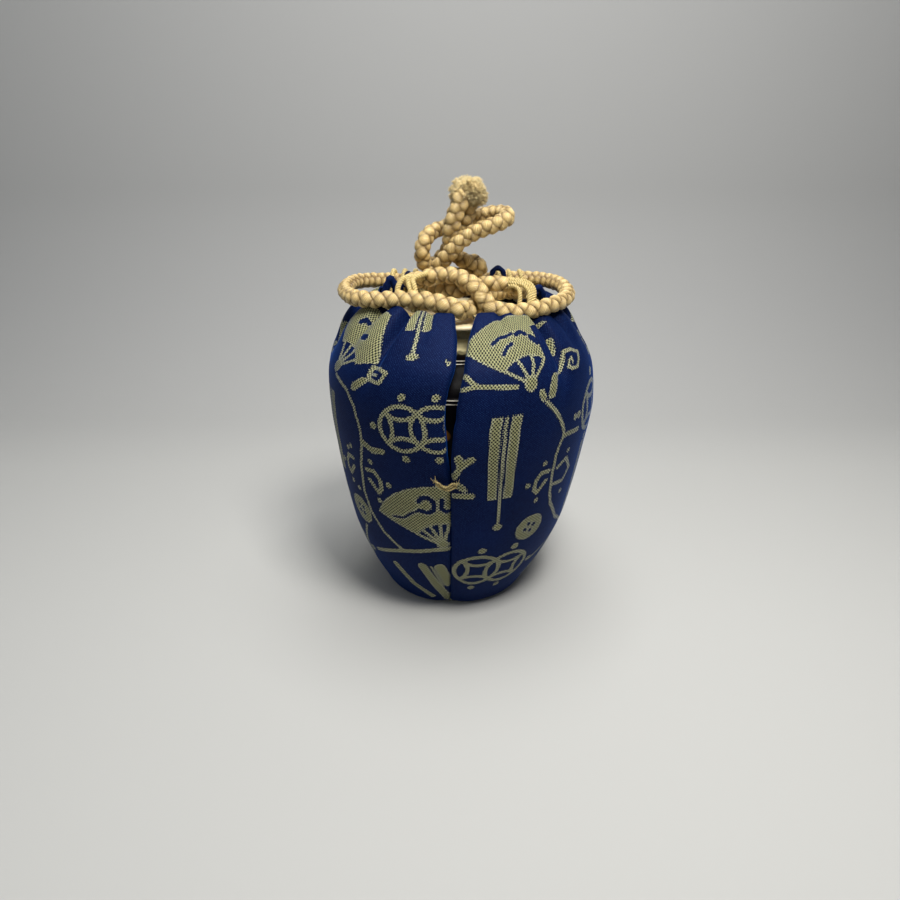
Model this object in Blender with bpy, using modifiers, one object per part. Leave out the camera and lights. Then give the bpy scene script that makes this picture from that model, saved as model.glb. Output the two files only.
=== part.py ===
"""Tea caddy in its drawstring brocade pouch, metres, +Z up, origin under the middle of the base."""

import math

import bpy
import numpy as np
from mathutils import Vector

# The caddy, which the pouch is sewn to fit
CADDY_RADIUS = 0.0284
CADDY_SHOULDER_HEIGHT = 0.0671
CADDY_NECK_HEIGHT = 0.0046
CADDY_NECK_SHARE = 0.5
CADDY_FOOT_SHARE = 0.535
CADDY_NECK_RADIUS = CADDY_RADIUS * CADDY_NECK_SHARE
CADDY_FOOT_RADIUS = CADDY_RADIUS * CADDY_FOOT_SHARE
CADDY_RIM_HEIGHT = CADDY_SHOULDER_HEIGHT + CADDY_NECK_HEIGHT
CADDY_WALL = 0.0022
FOOT_RING = 0.0010
NECK_RIDGE = 0.0003
CADDY_CURVE_STEPS = 2
TURN_STEPS = 36

# Outline of the caddy above its foot, as (share of its radius, share of the way to the shoulder)
CADDY_SHARE = [
    (0.560, 0.030),
    (0.700, 0.150),
    (0.860, 0.340),
    (0.945, 0.520),
    (1.000, 0.680),
    (0.990, 0.790),
    (0.930, 0.890),
    (0.800, 0.955),
    (0.640, 0.985),
]

# Layers of the cloth, from the outside in
BROCADE = 0.0006
PADDING = 0.0016
LINING = 0.0005
LAYER_GAP = 0.0003
CUT_GAP = 0.0005
CADDY_EASE = 0.0013

# The pouch, from the caddy's sizes
MOUTH_RISE = 0.0033
SLIT_DEPTH = 0.0350
BASE_SHARE = 0.515
POUCH_RADIUS = CADDY_RADIUS + CADDY_EASE + LINING + PADDING + BROCADE + 2 * LAYER_GAP
POUCH_HEIGHT = CADDY_RIM_HEIGHT + MOUTH_RISE
SLIT_BOTTOM = POUCH_HEIGHT - SLIT_DEPTH
BASE_RADIUS = POUCH_RADIUS * BASE_SHARE
SLIT_HALF_ANGLE = math.radians(2.6)
SEAM_HALF_ANGLE = math.radians(0.7)
BASE_CLEARANCE = 0.0002
BASE_INSETS = (0, 0.0015, 0.0018)

# Outline of the brocade, as (share of the pouch's radius, share of its height)
POUCH_SHARE = [
    (0.535, 0.002),
    (0.620, 0.045),
    (0.710, 0.125),
    (0.825, 0.260),
    (0.900, 0.390),
    (0.965, 0.560),
    (1.000, 0.710),
    (0.958, 0.850),
    (0.843, 0.930),
    (0.727, 0.976),
    (0.615, 1.000),
]
HALF_TURN_STEPS = 14

# How far each free upper half bellies out over that outline, as a share of the pouch's radius
BELLY_SHARES = {"left": 0.0, "right": 0.038}
BELLY_TOP_SHARE = 0.976

# The lid
LID_OVERHANG = 0.0020
LID_PLATE = 0.0011
LID_PLUG_DEPTH = 0.0030
LID_SEAT_GAP = 0.0003
LID_PLUG_GAP = 0.0004
LID_ROUND = 0.0004
KNOB_RADIUS = 0.0028
KNOB_HEIGHT = 0.0026
KNOB_WAIST_SHARE = 0.66
LEAF = 0.0002

# The cord, its tuft and their binding
CORD_SHARE = 0.106
CORD_DIAMETER = POUCH_RADIUS * CORD_SHARE
CORD_STEP = 1.2
CORD_BEVEL_STEPS = 2
CORD_DENSE_STEP = 0.25
CORD_NEAR_STEP = 2.5
TUFT_SHARE = 0.139
TUFT_RADIUS = POUCH_RADIUS * TUFT_SHARE
TUFT_HEIGHT = 0.0050
TUFT_TURN_STEPS = 16
TUFT_RING_STEPS = 10
BINDING_THREAD = 0.0006
BINDING_TURNS = 3
BINDING_STEPS = 12
BINDING_GAP = 0.0005
BINDING_DROP = 0.0006

# The gold edge loops round the cord
LOOP_THREAD = 0.0008
LOOP_CLEARANCE = 0.00065
LOOP_LEAN = 0.0005
LOOP_ROOT = 0.0012
LOOP_SEAT_GAP = 0.0006
LOOP_EASE = 0.0035
LOOP_STEPS = 8
LOOP_NECK_ANGLE = math.radians(62)
THREAD_END = 0.0022
THREAD_REST = 0.0012
EAR_STEPS = 9

# Where the cord's runs along the mouth lie, and the loops over them, in shares of the pouch's radius
RING_RUN_SHARE = 0.273
RING_RISE_SHARE = 0.167
FRONT_LOOP_SHARES = {"left": (0.209, 0.285, 0.361, 0.436), "right": (0.248, 0.309, 0.370)}
BACK_LOOP_SHARES = (0.321, 0.400, 0.479)

# The bar tacks over the lower end of each slit
TACK_THREAD = 0.0007
TACK_WIDTH = 0.0046
TACK_STRAND_COUNT = 3
TACK_BELOW_SLIT = 0.0006
TACK_STEPS = 5

TUBE_BEVEL_STEPS = 1
CURVE_STEPS = 12
MERGE_DISTANCE = 0.00001

# Route of the cord's middle line from one end in the tuft to the other, heights from the mouth,
# in units of this share of the pouch's radius
ROUTE_UNIT_SHARE = 1 / 33
CORD_ROUTE = [
    (2.6, 1.6, 23.6),
    (2.5, 1.6, 22.0),
    (2.2, 1.6, 20.5),
    (1.6, 1.9, 18.5),
    (0.7, 3.0, 16.4),
    (-0.6, 5.0, 14.1),
    (-2.4, 6.8, 11.4),
    (-4.4, 7.2, 9.0),
    (-6.6, 5.2, 7.8),
    (-8.0, 2.2, 9.2),
    (-8.3, 0.6, 11.7),
    (-7.9, 0.8, 13.9),
    (-6.6, 2.6, 15.7),
    (-4.6, 4.8, 16.7),
    (-1.7, 6.3, 17.6),
    (1.4, 7.0, 18.9),
    (4.5, 6.8, 20.2),
    (7.8, 6.2, 21.1),
    (10.7, 4.8, 21.5),
    (12.4, 1.5, 21.1),
    (11.5, -1.8, 20.0),
    (8.7, -3.2, 18.9),
    (5.6, -3.6, 17.8),
    (2.6, -3.6, 16.3),
    (0.1, -3.7, 14.3),
    (-1.9, -2.9, 11.9),
    (-4.0, -1.2, 9.3),
    (-5.4, 0.1, 6.9),
    (-6.2, 0.0, 4.8),
    (-5.3, -2.0, 3.3),
    (-2.6, -4.7, 3.7),
    (0.6, -6.2, 4.3),
    (3.8, -6.7, 5.2),
    (7.0, -6.9, 5.8),
    (10.5, -6.7, 5.7),
    (13.5, -4.8, 4.7),
    (15.2, -0.9, 3.2),
    (14.8, 3.0, 2.2),
    (12.2, 4.8, 1.7),
    (8.9, 3.8, 1.6),
    (6.4, 0.0, 1.6),
    (4.9, -5.2, 1.6),
    (3.2, -10.6, 1.5),
    (0.3, -13.2, 2.2),
    (-3.0, -13.4, 3.2),
    (-6.4, -12.8, 3.6),
    (-9.8, -12.2, 3.7),
    (-13.0, -12.0, 3.6),
    (-16.4, -11.8, 3.4),
    (-20.0, -11.0, 3.1),
    (-23.6, -8.4, 3.0),
    (-26.2, -3.0, 3.3),
    (-26.8, 3.0, 4.0),
    (-25.2, 7.6, 4.5),
    (-22.0, 10.0, 4.5),
    (-18.4, 10.7, 4.3),
    (-13.4, 10.8, 3.9),
    (-7.8, 11.0, 3.7),
    (-1.7, 11.0, 3.6),
    (4.4, 11.0, 3.6),
    (10.0, 10.9, 3.7),
    (15.1, 10.8, 3.9),
    (19.6, 10.2, 3.9),
    (23.4, 8.0, 3.7),
    (25.8, 4.0, 3.3),
    (26.3, -1.0, 2.5),
    (24.8, -6.4, 2.1),
    (21.6, -10.6, 1.9),
    (18.0, -12.8, 1.8),
    (14.7, -13.5, 1.7),
    (11.5, -13.7, 1.7),
    (8.8, -13.8, 2.0),
    (6.4, -13.3, 3.2),
    (4.5, -11.9, 5.4),
    (2.3, -10.2, 6.9),
    (-0.1, -8.2, 7.7),
    (-3.1, -6.4, 7.7),
    (-6.1, -5.2, 7.1),
    (-9.0, -3.6, 6.2),
    (-11.0, 0.4, 5.1),
    (-10.4, 5.0, 4.3),
    (-6.9, 6.7, 4.0),
    (-2.7, 6.5, 4.0),
    (1.6, 5.3, 4.4),
    (4.8, 3.4, 5.7),
    (6.2, 2.6, 7.9),
    (4.9, 2.2, 10.1),
    (2.1, 2.3, 10.9),
    (-0.6, 2.0, 11.8),
    (-1.7, 0.8, 13.9),
    (-1.5, -0.8, 16.3),
    (-0.9, -1.6, 18.8),
    (-0.1, -1.8, 20.8),
    (0.5, -1.8, 22.2),
    (0.8, -1.7, 23.6),
]


def clear_scene():
    """Removes whatever the scene holds."""
    for old in list(bpy.data.objects):
        bpy.data.objects.remove(old, do_unlink=True)


def make_collection(name):
    """A new collection linked to the scene."""
    made = bpy.data.collections.new(name)
    bpy.context.scene.collection.children.link(made)
    return made


def make_material(name, colour, roughness, metallic):
    """A Principled material of one colour."""
    made = bpy.data.materials.new(name)
    made.use_nodes = True
    shader = made.node_tree.nodes["Principled BSDF"]
    shader.inputs["Base Color"].default_value = (*colour, 1)
    shader.inputs["Roughness"].default_value = roughness
    shader.inputs["Metallic"].default_value = metallic
    return made


def finish(obj, material):
    """Links an object into the pouch's collection with its material."""
    if obj.name not in PARTS.objects:
        PARTS.objects.link(obj)
    for other in list(obj.users_collection):
        if other != PARTS:
            other.objects.unlink(obj)
    obj.data.materials.clear()
    obj.data.materials.append(material)
    return obj


def make_joint_empty(name, place):
    """An empty on a moving body's joint axis."""
    made = bpy.data.objects.new(name, None)
    made.location = place
    PARTS.objects.link(made)
    return made


def smooth_points(points, spans):
    """Points read from a centripetal curve through the given ones, with so many in each span."""
    given = [Vector(p) for p in points]
    first = given[0] * 2 - given[1]
    last = given[-1] * 2 - given[-2]
    row = [first, *given, last]
    read = []
    for a, b, c, d in zip(row, row[1:], row[2:], row[3:]):
        knot_b = math.sqrt((b - a).length)
        knot_c = knot_b + math.sqrt((c - b).length)
        knot_d = knot_c + math.sqrt((d - c).length)
        for step in range(spans):
            at = knot_b + (knot_c - knot_b) * step / spans
            ab = a * ((knot_b - at) / knot_b) + b * (at / knot_b)
            bc = b * ((knot_c - at) / (knot_c - knot_b)) + c * ((at - knot_b) / (knot_c - knot_b))
            cd = c * ((knot_d - at) / (knot_d - knot_c)) + d * ((at - knot_c) / (knot_d - knot_c))
            abc = ab * ((knot_c - at) / knot_c) + bc * (at / knot_c)
            bcd = bc * ((knot_d - at) / (knot_d - knot_b)) + cd * ((at - knot_b) / (knot_d - knot_b))
            read.append(abc * ((knot_c - at) / (knot_c - knot_b)) + bcd * ((at - knot_b) / (knot_c - knot_b)))
    read.append(given[-1])
    return read


def even_points(points, step):
    """Points a set step apart along a smooth curve through the given ones."""
    dense = np.array(smooth_points(points, CURVE_STEPS))
    runs = np.linalg.norm(np.diff(dense, axis=0), axis=1)
    along = np.concatenate([[0], np.cumsum(runs)])
    count = max(2, round(along[-1] / step) + 1)
    marks = np.linspace(0, along[-1], count)
    return np.stack([np.interp(marks, along, dense[:, axis]) for axis in range(3)], axis=1)


def make_tube(name, route, diameter, level):
    """A round tube with closed ends, as a curve object."""
    curve = bpy.data.curves.new(name, "CURVE")
    curve.dimensions = "3D"
    curve.bevel_depth = diameter / 2
    curve.bevel_resolution = level
    curve.use_fill_caps = True
    spline = curve.splines.new("POLY")
    spline.points.add(len(route) - 1)
    for point, place in zip(spline.points, route):
        point.co = (*place, 1)
    return bpy.data.objects.new(name, curve)


def make_profile(name, points):
    """A mesh line in the XZ plane, for a Screw modifier."""
    mesh = bpy.data.meshes.new(name)
    edges = [(i, i + 1) for i in range(len(points) - 1)]
    mesh.from_pydata([(r, 0, z) for r, z in points], edges, [])
    return bpy.data.objects.new(name, mesh)


def add_screw(obj, angle, steps, whole):
    """Turns a profile about Z."""
    turn = obj.modifiers.new("turn", "SCREW")
    turn.axis = "Z"
    turn.angle = angle
    turn.steps = steps
    turn.render_steps = steps
    turn.use_smooth_shade = True
    turn.use_merge_vertices = whole
    turn.merge_threshold = MERGE_DISTANCE
    return turn


def make_turned(name, points, material):
    """A solid turned whole about Z from a closed run of (radius, height), top to bottom outside."""
    obj = make_profile(name, points)
    add_screw(obj, math.tau, TURN_STEPS, True)
    return finish(obj, material)


def pouch_profile(belly=0.0):
    """The brocade's outer line, from the base to the mouth, bellied out above the slit's bottom."""
    low = SLIT_BOTTOM / POUCH_HEIGHT
    line = []
    for wide, high in POUCH_SHARE:
        climb = min(max((high - low) / (BELLY_TOP_SHARE - low), 0), 1)
        line.append((POUCH_RADIUS * (wide + belly * math.sin(math.pi * climb)), POUCH_HEIGHT * high))
    return line


def offset_inward(points, depth):
    """A profile moved square to itself towards the pouch's middle."""
    moved = []
    for i, (r, z) in enumerate(points):
        before = points[max(i - 1, 0)]
        after = points[min(i + 1, len(points) - 1)]
        run = Vector((after[0] - before[0], after[1] - before[1])).normalized()
        moved.append((r - run.y * depth, z + run.x * depth))
    return moved


def cut_profile(points, low, high):
    """The part of a rising profile between two heights, with a point on each."""
    heights = [z for _, z in points]
    radii = [r for r, _ in points]
    low = max(low, heights[0])
    high = min(high, heights[-1])
    inner = [(r, z) for r, z in points if low < z < high]
    first = (float(np.interp(low, heights, radii)), low)
    last = (float(np.interp(high, heights, radii)), high)
    return [first, *inner, last]


def make_half_shell(name, line, side, half_gap, thick, material):
    """Half of a turned cloth layer, thickened inwards, open by a gap at the front and the back."""
    obj = make_profile(name, list(reversed(line)))
    add_screw(obj, math.pi - 2 * half_gap, HALF_TURN_STEPS, False)
    solid = obj.modifiers.new("thickness", "SOLIDIFY")
    solid.thickness = thick
    solid.offset = -1
    solid.use_even_offset = True
    obj.rotation_euler.z = half_gap + (math.pi / 2 if side < 0 else -math.pi / 2)
    return finish(obj, material)


def make_disc(name, radius, low, high, material):
    """A flat round layer."""
    line = [(0, high), (radius, high), (radius, low), (0, low)]
    return make_turned(name, line, material)


def build_cloth():
    """The sewn lower halves and the free upper halves of each cloth layer."""
    depth = 0
    floor = BASE_CLEARANCE
    made = {}
    for layer, thick, material in LAYERS:
        for side, word in ((-1, "left"), (1, "right")):
            line = offset_inward(pouch_profile(BELLY_SHARES[word]), depth)
            lower = cut_profile(line, floor, SLIT_BOTTOM)
            upper = cut_profile(line, SLIT_BOTTOM + CUT_GAP, POUCH_HEIGHT)
            for level, part, gap in (("lower", lower, SEAM_HALF_ANGLE), ("upper", upper, SLIT_HALF_ANGLE)):
                name = f"{layer}_{word}_{level}"
                made[name] = make_half_shell(name, part, side, gap, thick, material)
        depth += thick + LAYER_GAP
        floor += thick + LAYER_GAP
    return made


def build_base():
    """The three round layers that close the pouch's bottom. Gives the height of their top."""
    low = 0
    for (layer, thick, material), inset in zip(LAYERS, BASE_INSETS):
        make_disc(f"{layer}_base", BASE_RADIUS - inset, low, low + thick, material)
        low += thick + LAYER_GAP
    return low


def build_caddy(floor):
    """The turned jar, hollow, open at its neck."""
    rise = CADDY_SHOULDER_HEIGHT - floor
    side = [(CADDY_RADIUS * wide, floor + rise * high) for wide, high in CADDY_SHARE]
    whole = [(CADDY_FOOT_RADIUS, floor), *side, (CADDY_NECK_RADIUS, CADDY_SHOULDER_HEIGHT)]
    smooth = smooth_points([(r, 0, z) for r, z in whole], CADDY_CURVE_STEPS)
    side = [(p.x, p.z) for p in smooth]
    low = floor + CADDY_WALL
    high = CADDY_SHOULDER_HEIGHT - CADDY_WALL
    inside = [(r, z) for r, z in offset_inward(side, CADDY_WALL) if low < z < high]
    bore = CADDY_NECK_RADIUS - CADDY_WALL
    ridge = CADDY_SHOULDER_HEIGHT + (CADDY_RIM_HEIGHT - CADDY_SHOULDER_HEIGHT) / 2
    neck = [
        (CADDY_NECK_RADIUS, ridge - NECK_RIDGE),
        (CADDY_NECK_RADIUS + NECK_RIDGE, ridge),
        (CADDY_NECK_RADIUS, ridge + NECK_RIDGE),
        (CADDY_NECK_RADIUS, CADDY_RIM_HEIGHT),
        (bore, CADDY_RIM_HEIGHT),
        (bore, high),
    ]
    bottom = [(CADDY_FOOT_RADIUS - CADDY_WALL, low), (0, low)]
    under = [(0, floor + FOOT_RING), (CADDY_FOOT_RADIUS - CADDY_WALL, floor + FOOT_RING)]
    ring = [(CADDY_FOOT_RADIUS - CADDY_WALL, floor)]
    line = [*side, *neck, *reversed(inside), *bottom]
    return make_turned("caddy_body", [*reversed([*under, *ring, *line])], GLAZE)


def build_lid():
    """The turned lid with its plug and knob, and the gold leaf under it."""
    low = CADDY_RIM_HEIGHT + LID_SEAT_GAP
    top = low + LID_PLATE
    brim = CADDY_NECK_RADIUS + LID_OVERHANG
    plug = CADDY_NECK_RADIUS - CADDY_WALL - LID_PLUG_GAP
    foot = low - LID_PLUG_DEPTH
    line = [
        (0, top + KNOB_HEIGHT),
        (KNOB_RADIUS - LID_ROUND, top + KNOB_HEIGHT),
        (KNOB_RADIUS, top + KNOB_HEIGHT - LID_ROUND),
        (KNOB_RADIUS, top + KNOB_HEIGHT - 2 * LID_ROUND),
        (KNOB_RADIUS * KNOB_WAIST_SHARE, top + LID_ROUND),
        (KNOB_RADIUS * KNOB_WAIST_SHARE, top),
        (brim - LID_ROUND, top),
        (brim, top - LID_ROUND),
        (brim, low),
        (plug, low),
        (plug, foot),
        (0, foot),
    ]
    lid = make_turned("caddy_lid", line, IVORY)
    leaf = make_disc("lid_gold_leaf", plug, foot - LID_SEAT_GAP - LEAF, foot - LID_SEAT_GAP, GOLD_LEAF)
    return [lid, leaf]


def cord_points(step):
    """The cord's middle line in metres, with points a number of its diameters apart."""
    unit = POUCH_RADIUS * ROUTE_UNIT_SHARE
    placed = [Vector((x * unit, y * unit, POUCH_HEIGHT + rise * unit)) for x, y, rise in CORD_ROUTE]
    return even_points(placed, CORD_DIAMETER * step)


def print_cord():
    """Prints the cord's length and its least gap to itself."""
    dense = cord_points(CORD_DENSE_STEP)
    runs = np.linalg.norm(np.diff(dense, axis=0), axis=1)
    along = np.concatenate([[0], np.cumsum(runs)])
    apart = np.linalg.norm(dense[:, None] - dense[None], axis=2)
    near = np.abs(along[:, None] - along[None]) < CORD_NEAR_STEP * CORD_DIAMETER
    least = np.where(near, 1, apart).min() - CORD_DIAMETER
    print(f"cord length {along[-1]:.4f} m, least gap to itself {least:.5f} m")


def build_cord():
    """The drawstring as one unbroken tube, with the tuft on its two ends and their binding."""
    points = cord_points(CORD_STEP)
    print_cord()
    finish(make_tube("drawstring_cord", points, CORD_DIAMETER, CORD_BEVEL_STEPS), CORD_SILK)
    ends = [Vector(points[0]), Vector(points[-1])]
    middle = (ends[0] + ends[1]) / 2
    bpy.ops.mesh.primitive_uv_sphere_add(segments=TUFT_TURN_STEPS, ring_count=TUFT_RING_STEPS)
    tuft = bpy.context.object
    tuft.name = "end_tuft"
    tuft.scale = (TUFT_RADIUS, TUFT_RADIUS, TUFT_HEIGHT / 2)
    tuft.location = middle + Vector((0, 0, TUFT_HEIGHT / 2 + LAYER_GAP))
    finish(tuft, CORD_SILK)
    build_binding(points, middle)


def build_binding(points, middle):
    """The thread wound round the cord's two ends, just under the tuft."""
    across = Vector(points[0] - points[-1])
    across.z = 0
    spread = across.length / 2
    across.normalize()
    beside = Vector((-across.y, across.x, 0))
    reach = CORD_DIAMETER / 2 + BINDING_GAP + BINDING_THREAD / 2
    pitch = BINDING_THREAD + LAYER_GAP
    start = middle - Vector((0, 0, BINDING_DROP))
    lean = (Vector(points[1]) + Vector(points[-2]) - Vector(points[0]) - Vector(points[-1])) / 2
    lean = lean / lean.z
    route = []
    for step in range(BINDING_TURNS * BINDING_STEPS + 1):
        turn = math.tau * step / BINDING_STEPS
        drop = pitch * step / BINDING_STEPS
        wide = math.copysign(spread, math.cos(turn)) + reach * math.cos(turn)
        deep = reach * math.sin(turn)
        shift = Vector((lean.x, lean.y, 0)) * -(BINDING_DROP + drop)
        route.append(start + across * wide + beside * deep + shift - Vector((0, 0, drop)))
    finish(make_tube("end_binding", route, BINDING_THREAD, TUBE_BEVEL_STEPS), GOLD_THREAD)


def ring_centre(x, front):
    """Middle of the cord's front or back run over the way that a loop at x slides, as (y, z)."""
    dense = cord_points(CORD_DENSE_STEP)
    far = x + math.copysign(LOOP_EASE, x)
    low, high = min(x, far), max(x, far)
    run = POUCH_RADIUS * RING_RUN_SHARE
    top = POUCH_HEIGHT + POUCH_RADIUS * RING_RISE_SHARE
    near = dense[(dense[:, 0] > low) & (dense[:, 0] < high) & (dense[:, 2] < top)]
    near = near[near[:, 1] < -run] if front else near[near[:, 1] > run]
    return float(near[:, 1].mean()), float(near[:, 2].mean())


def mouth_line():
    """Radius and height of the gold thread where it runs along the cloth's mouth."""
    before, edge = (Vector(point) for point in pouch_profile()[-2:])
    along = (edge - before).normalized()
    inward = Vector((-along.y, along.x))
    place = edge + along * (LOOP_SEAT_GAP + LOOP_THREAD / 2) + inward * LOOP_ROOT
    return place.x, place.y


def loop_points(x, front):
    """One edge loop: up from the cloth's mouth, over the cord, and back down inside it."""
    side = -1 if front else 1
    y, z = ring_centre(x, front)
    radius, foot_z = mouth_line()
    foot_y = side * math.sqrt(radius**2 - x**2)
    reach = CORD_DIAMETER / 2 + LOOP_CLEARANCE + LOOP_THREAD / 2
    away = math.atan2(foot_z - z, foot_y - y)
    sweep = math.tau - 2 * LOOP_NECK_ANGLE
    lean = math.copysign(LOOP_LEAN, x)
    points = [Vector((x - lean, foot_y, foot_z))]
    for step in range(LOOP_STEPS + 1):
        share = step / LOOP_STEPS
        angle = away - side * (LOOP_NECK_ANGLE + sweep * share)
        across = x + lean * (2 * share - 1)
        points.append(Vector((across, y + reach * math.cos(angle), z + reach * math.sin(angle))))
    points.append(Vector((x + lean, foot_y, foot_z)))
    return points


def loop_thread_route(word, side):
    """The whole gold thread of one half, from the front slit round the mouth to the back slit."""
    radius, height = mouth_line()
    front_places = [POUCH_RADIUS * share for share in FRONT_LOOP_SHARES[word]]
    back_places = [POUCH_RADIUS * share for share in BACK_LOOP_SHARES]
    front = [loop_points(side * place, True) for place in front_places]
    back = [list(reversed(loop_points(side * place, False))) for place in reversed(back_places)]
    start = -math.acos(THREAD_END / radius)
    front_turn = -math.acos((front_places[-1] + THREAD_REST) / radius)
    back_turn = math.acos((back_places[-1] + THREAD_REST) / radius)
    route = [Vector((side * radius * math.cos(start), radius * math.sin(start), height))]
    for points in front:
        route += points
    for turn in np.linspace(front_turn, back_turn, EAR_STEPS):
        route.append(Vector((side * radius * math.cos(turn), radius * math.sin(turn), height)))
    for points in back:
        route += points
    route.append(Vector((side * radius * math.cos(start), -radius * math.sin(start), height)))
    return route


def build_loops():
    """The twisted gold thread along each half's mouth, whose loops the cord runs through."""
    made = {}
    for side, word in ((-1, "left"), (1, "right")):
        name = f"edge_loops_{word}"
        route = loop_thread_route(word, side)
        made[name] = finish(make_tube(name, route, LOOP_THREAD, TUBE_BEVEL_STEPS), GOLD_THREAD)
    return made


def build_tacks():
    """The gold thread sewn to and fro across the seam just under each slit."""
    heights = [z for _, z in pouch_profile()]
    radii = [r for r, _ in pouch_profile()]
    for side, word in ((-1, "front"), (1, "back")):
        route = []
        for strand in range(TACK_STRAND_COUNT):
            z = SLIT_BOTTOM - TACK_BELOW_SLIT - strand * (TACK_THREAD + LAYER_GAP)
            radius = float(np.interp(z, heights, radii)) + LAYER_GAP + TACK_THREAD / 2
            half = TACK_WIDTH / 2 / radius * (-1) ** strand
            for turn in np.linspace(-half, half, TACK_STEPS):
                route.append(Vector((radius * math.sin(turn), side * radius * math.cos(turn), z)))
        name = f"bar_tack_{word}"
        finish(make_tube(name, route, TACK_THREAD, TUBE_BEVEL_STEPS), GOLD_THREAD)


def hang_on(empty, objects):
    """Parents a moving body's pieces to its empty, where they are."""
    bpy.context.view_layer.update()
    for obj in objects:
        obj.parent = empty
        obj.matrix_parent_inverse = empty.matrix_world.inverted()


clear_scene()
PARTS = make_collection("tea_caddy_pouch")
SATIN = make_material("navy_brocade", (0.012, 0.035, 0.17), 0.55, 0)
COTTON = make_material("cotton_wadding", (0.72, 0.68, 0.58), 0.95, 0)
SILK = make_material("navy_lining", (0.01, 0.012, 0.03), 0.6, 0)
GLAZE = make_material("black_glaze", (0.01, 0.008, 0.008), 0.15, 0)
IVORY = make_material("ivory", (0.78, 0.68, 0.48), 0.4, 0)
GOLD_LEAF = make_material("gold_leaf", (0.83, 0.6, 0.25), 0.3, 1)
CORD_SILK = make_material("gold_silk_cord", (0.76, 0.56, 0.28), 0.5, 0)
GOLD_THREAD = make_material("gold_thread", (0.68, 0.5, 0.2), 0.5, 0)

LAYERS = [
    ("brocade", BROCADE, SATIN),
    ("padding", PADDING, COTTON),
    ("lining", LINING, SILK),
]

cloth = build_cloth()
caddy_floor = build_base()
build_caddy(caddy_floor)
lid_pieces = build_lid()
build_cord()
loops = build_loops()
build_tacks()

for word, way in (("left", -1), ("right", 1)):
    slide = make_joint_empty(f"{word}_half_slide", (way * BASE_RADIUS, 0, SLIT_BOTTOM))
    moving = [cloth[f"{layer}_{word}_upper"] for layer, _, _ in LAYERS]
    hang_on(slide, [*moving, loops[f"edge_loops_{word}"]])
lift = make_joint_empty("lid_slide", (0, 0, CADDY_RIM_HEIGHT))
hang_on(lift, lid_pieces)
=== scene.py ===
"""Tea caddy in its brocade pouch: the looks, over the solid model. Metres, +Z up, slit facing -Y."""

import math

import bpy
import numpy as np
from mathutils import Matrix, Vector

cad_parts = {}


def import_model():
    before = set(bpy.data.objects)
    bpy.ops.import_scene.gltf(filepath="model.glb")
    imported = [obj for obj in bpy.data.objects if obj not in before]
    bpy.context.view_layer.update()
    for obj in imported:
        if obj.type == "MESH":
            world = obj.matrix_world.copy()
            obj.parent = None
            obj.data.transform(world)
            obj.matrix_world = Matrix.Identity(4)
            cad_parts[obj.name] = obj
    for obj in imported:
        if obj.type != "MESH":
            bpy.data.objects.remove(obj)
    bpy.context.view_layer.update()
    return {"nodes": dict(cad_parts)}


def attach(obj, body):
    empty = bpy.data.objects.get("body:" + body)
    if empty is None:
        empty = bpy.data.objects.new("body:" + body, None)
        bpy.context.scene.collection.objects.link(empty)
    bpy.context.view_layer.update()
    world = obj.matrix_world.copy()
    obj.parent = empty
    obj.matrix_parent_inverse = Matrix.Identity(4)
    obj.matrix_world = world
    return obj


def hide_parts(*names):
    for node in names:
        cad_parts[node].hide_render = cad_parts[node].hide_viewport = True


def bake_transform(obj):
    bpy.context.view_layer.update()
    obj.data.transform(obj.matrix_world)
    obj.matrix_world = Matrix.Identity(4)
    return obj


MM = 0.001
SEED = 11

# Camera, pinned to the photographed view, and the grey that it sees far off
CAMERA_PLACE = (-0.0017, -0.1672, 0.1104)
CAMERA_TILT = math.radians(66)
CAMERA_LENS = 27.6
CAMERA_SENSOR = 36
FAR_GREY = (0.42, 0.42, 0.41)

# The cord: its braid in millimetres
BRAID_PITCH = 5.8
BRAID_TIGHT_BACK = 0.55
BRAID_TIGHT_UP = 0.28
BRAID_RADIUS = 0.66
BRAID_WAVE = 0.38
STRAND_DEEP = 0.80
STRAND_WIDE = 1.16
STRAND_SWELL = 0.20
STRAND_SIDES = 20
PLY_SIDES = 8
BRAID_STEP = 0.25
# Painted shade in the cord's creases: full at CREASE_NEAR from another strand's middle, gone at CREASE_FAR,
# in millimetres over the girth
CREASE_NEAR = 0.92
CREASE_FAR = 1.62
END_REACH = 1.3

# Cloth, in millimetres; SEAM_TURNS in degrees, MOUTH_DIP_ANGLE and PLAIN_START in radians
SKIN = [
    (17.10, 0.25),
    (18.60, 0.70),
    (20.20, 3.30),
    (23.50, 9.38),
    (27.60, 19.50),
    (29.90, 29.25),
    (31.95, 42.00),
    (33.10, 53.25),
    (31.95, 63.60),
    (28.40, 69.60),
    (24.00, 73.20),
    (20.30, 75.00),
]
SLIT_BOTTOM = 40.5
SLIT_GAPS = {
    -1: [(39, 0), (41, 0.12), (45, 0.5), (48, 0.85), (51, 1.15), (54, 1.45), (57, 1.8), (60, 2.05),
         (64, 2.4), (66.5, 2.2), (69, 1.5), (71.5, 1.2), (74, 1.5), (76, 1.5)],
    1: [(39, 0), (41, 0.12), (45, 0.2), (48, 0.15), (51, 0.15), (54, 0.35), (57, 0.65), (60, 0.4),
        (64, 0.05), (66.5, 0.05), (69, 0.35), (71.5, 1.1), (73.5, 2.0), (76, 3.6)],
}
SEAM_TURNS = [(0, -3.7), (20, -4.3), (47, -5.3), (55, -4.7), (60, -3.1), (67, 1.0), (76, 2.4)]
SEAM_SHIFTS = [(0, -0.5), (12, 0.1), (24, 0.8), (40, 1.15), (52, 1.4), (62, 0.95), (70, 0.4), (76, 0.3)]
EDGE_ROUND = 1.3
SEAM_ROUND = 0.8
SEAM_DENT = 0.55
SEAM_DENT_WIDTH = 3.2
EDGE_WALL = 2.2
EDGE_STEPS = 4
MOUTH_HEIGHTS = (66.5, 75.2)
MOUTH_FRONT = 16.4
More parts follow.
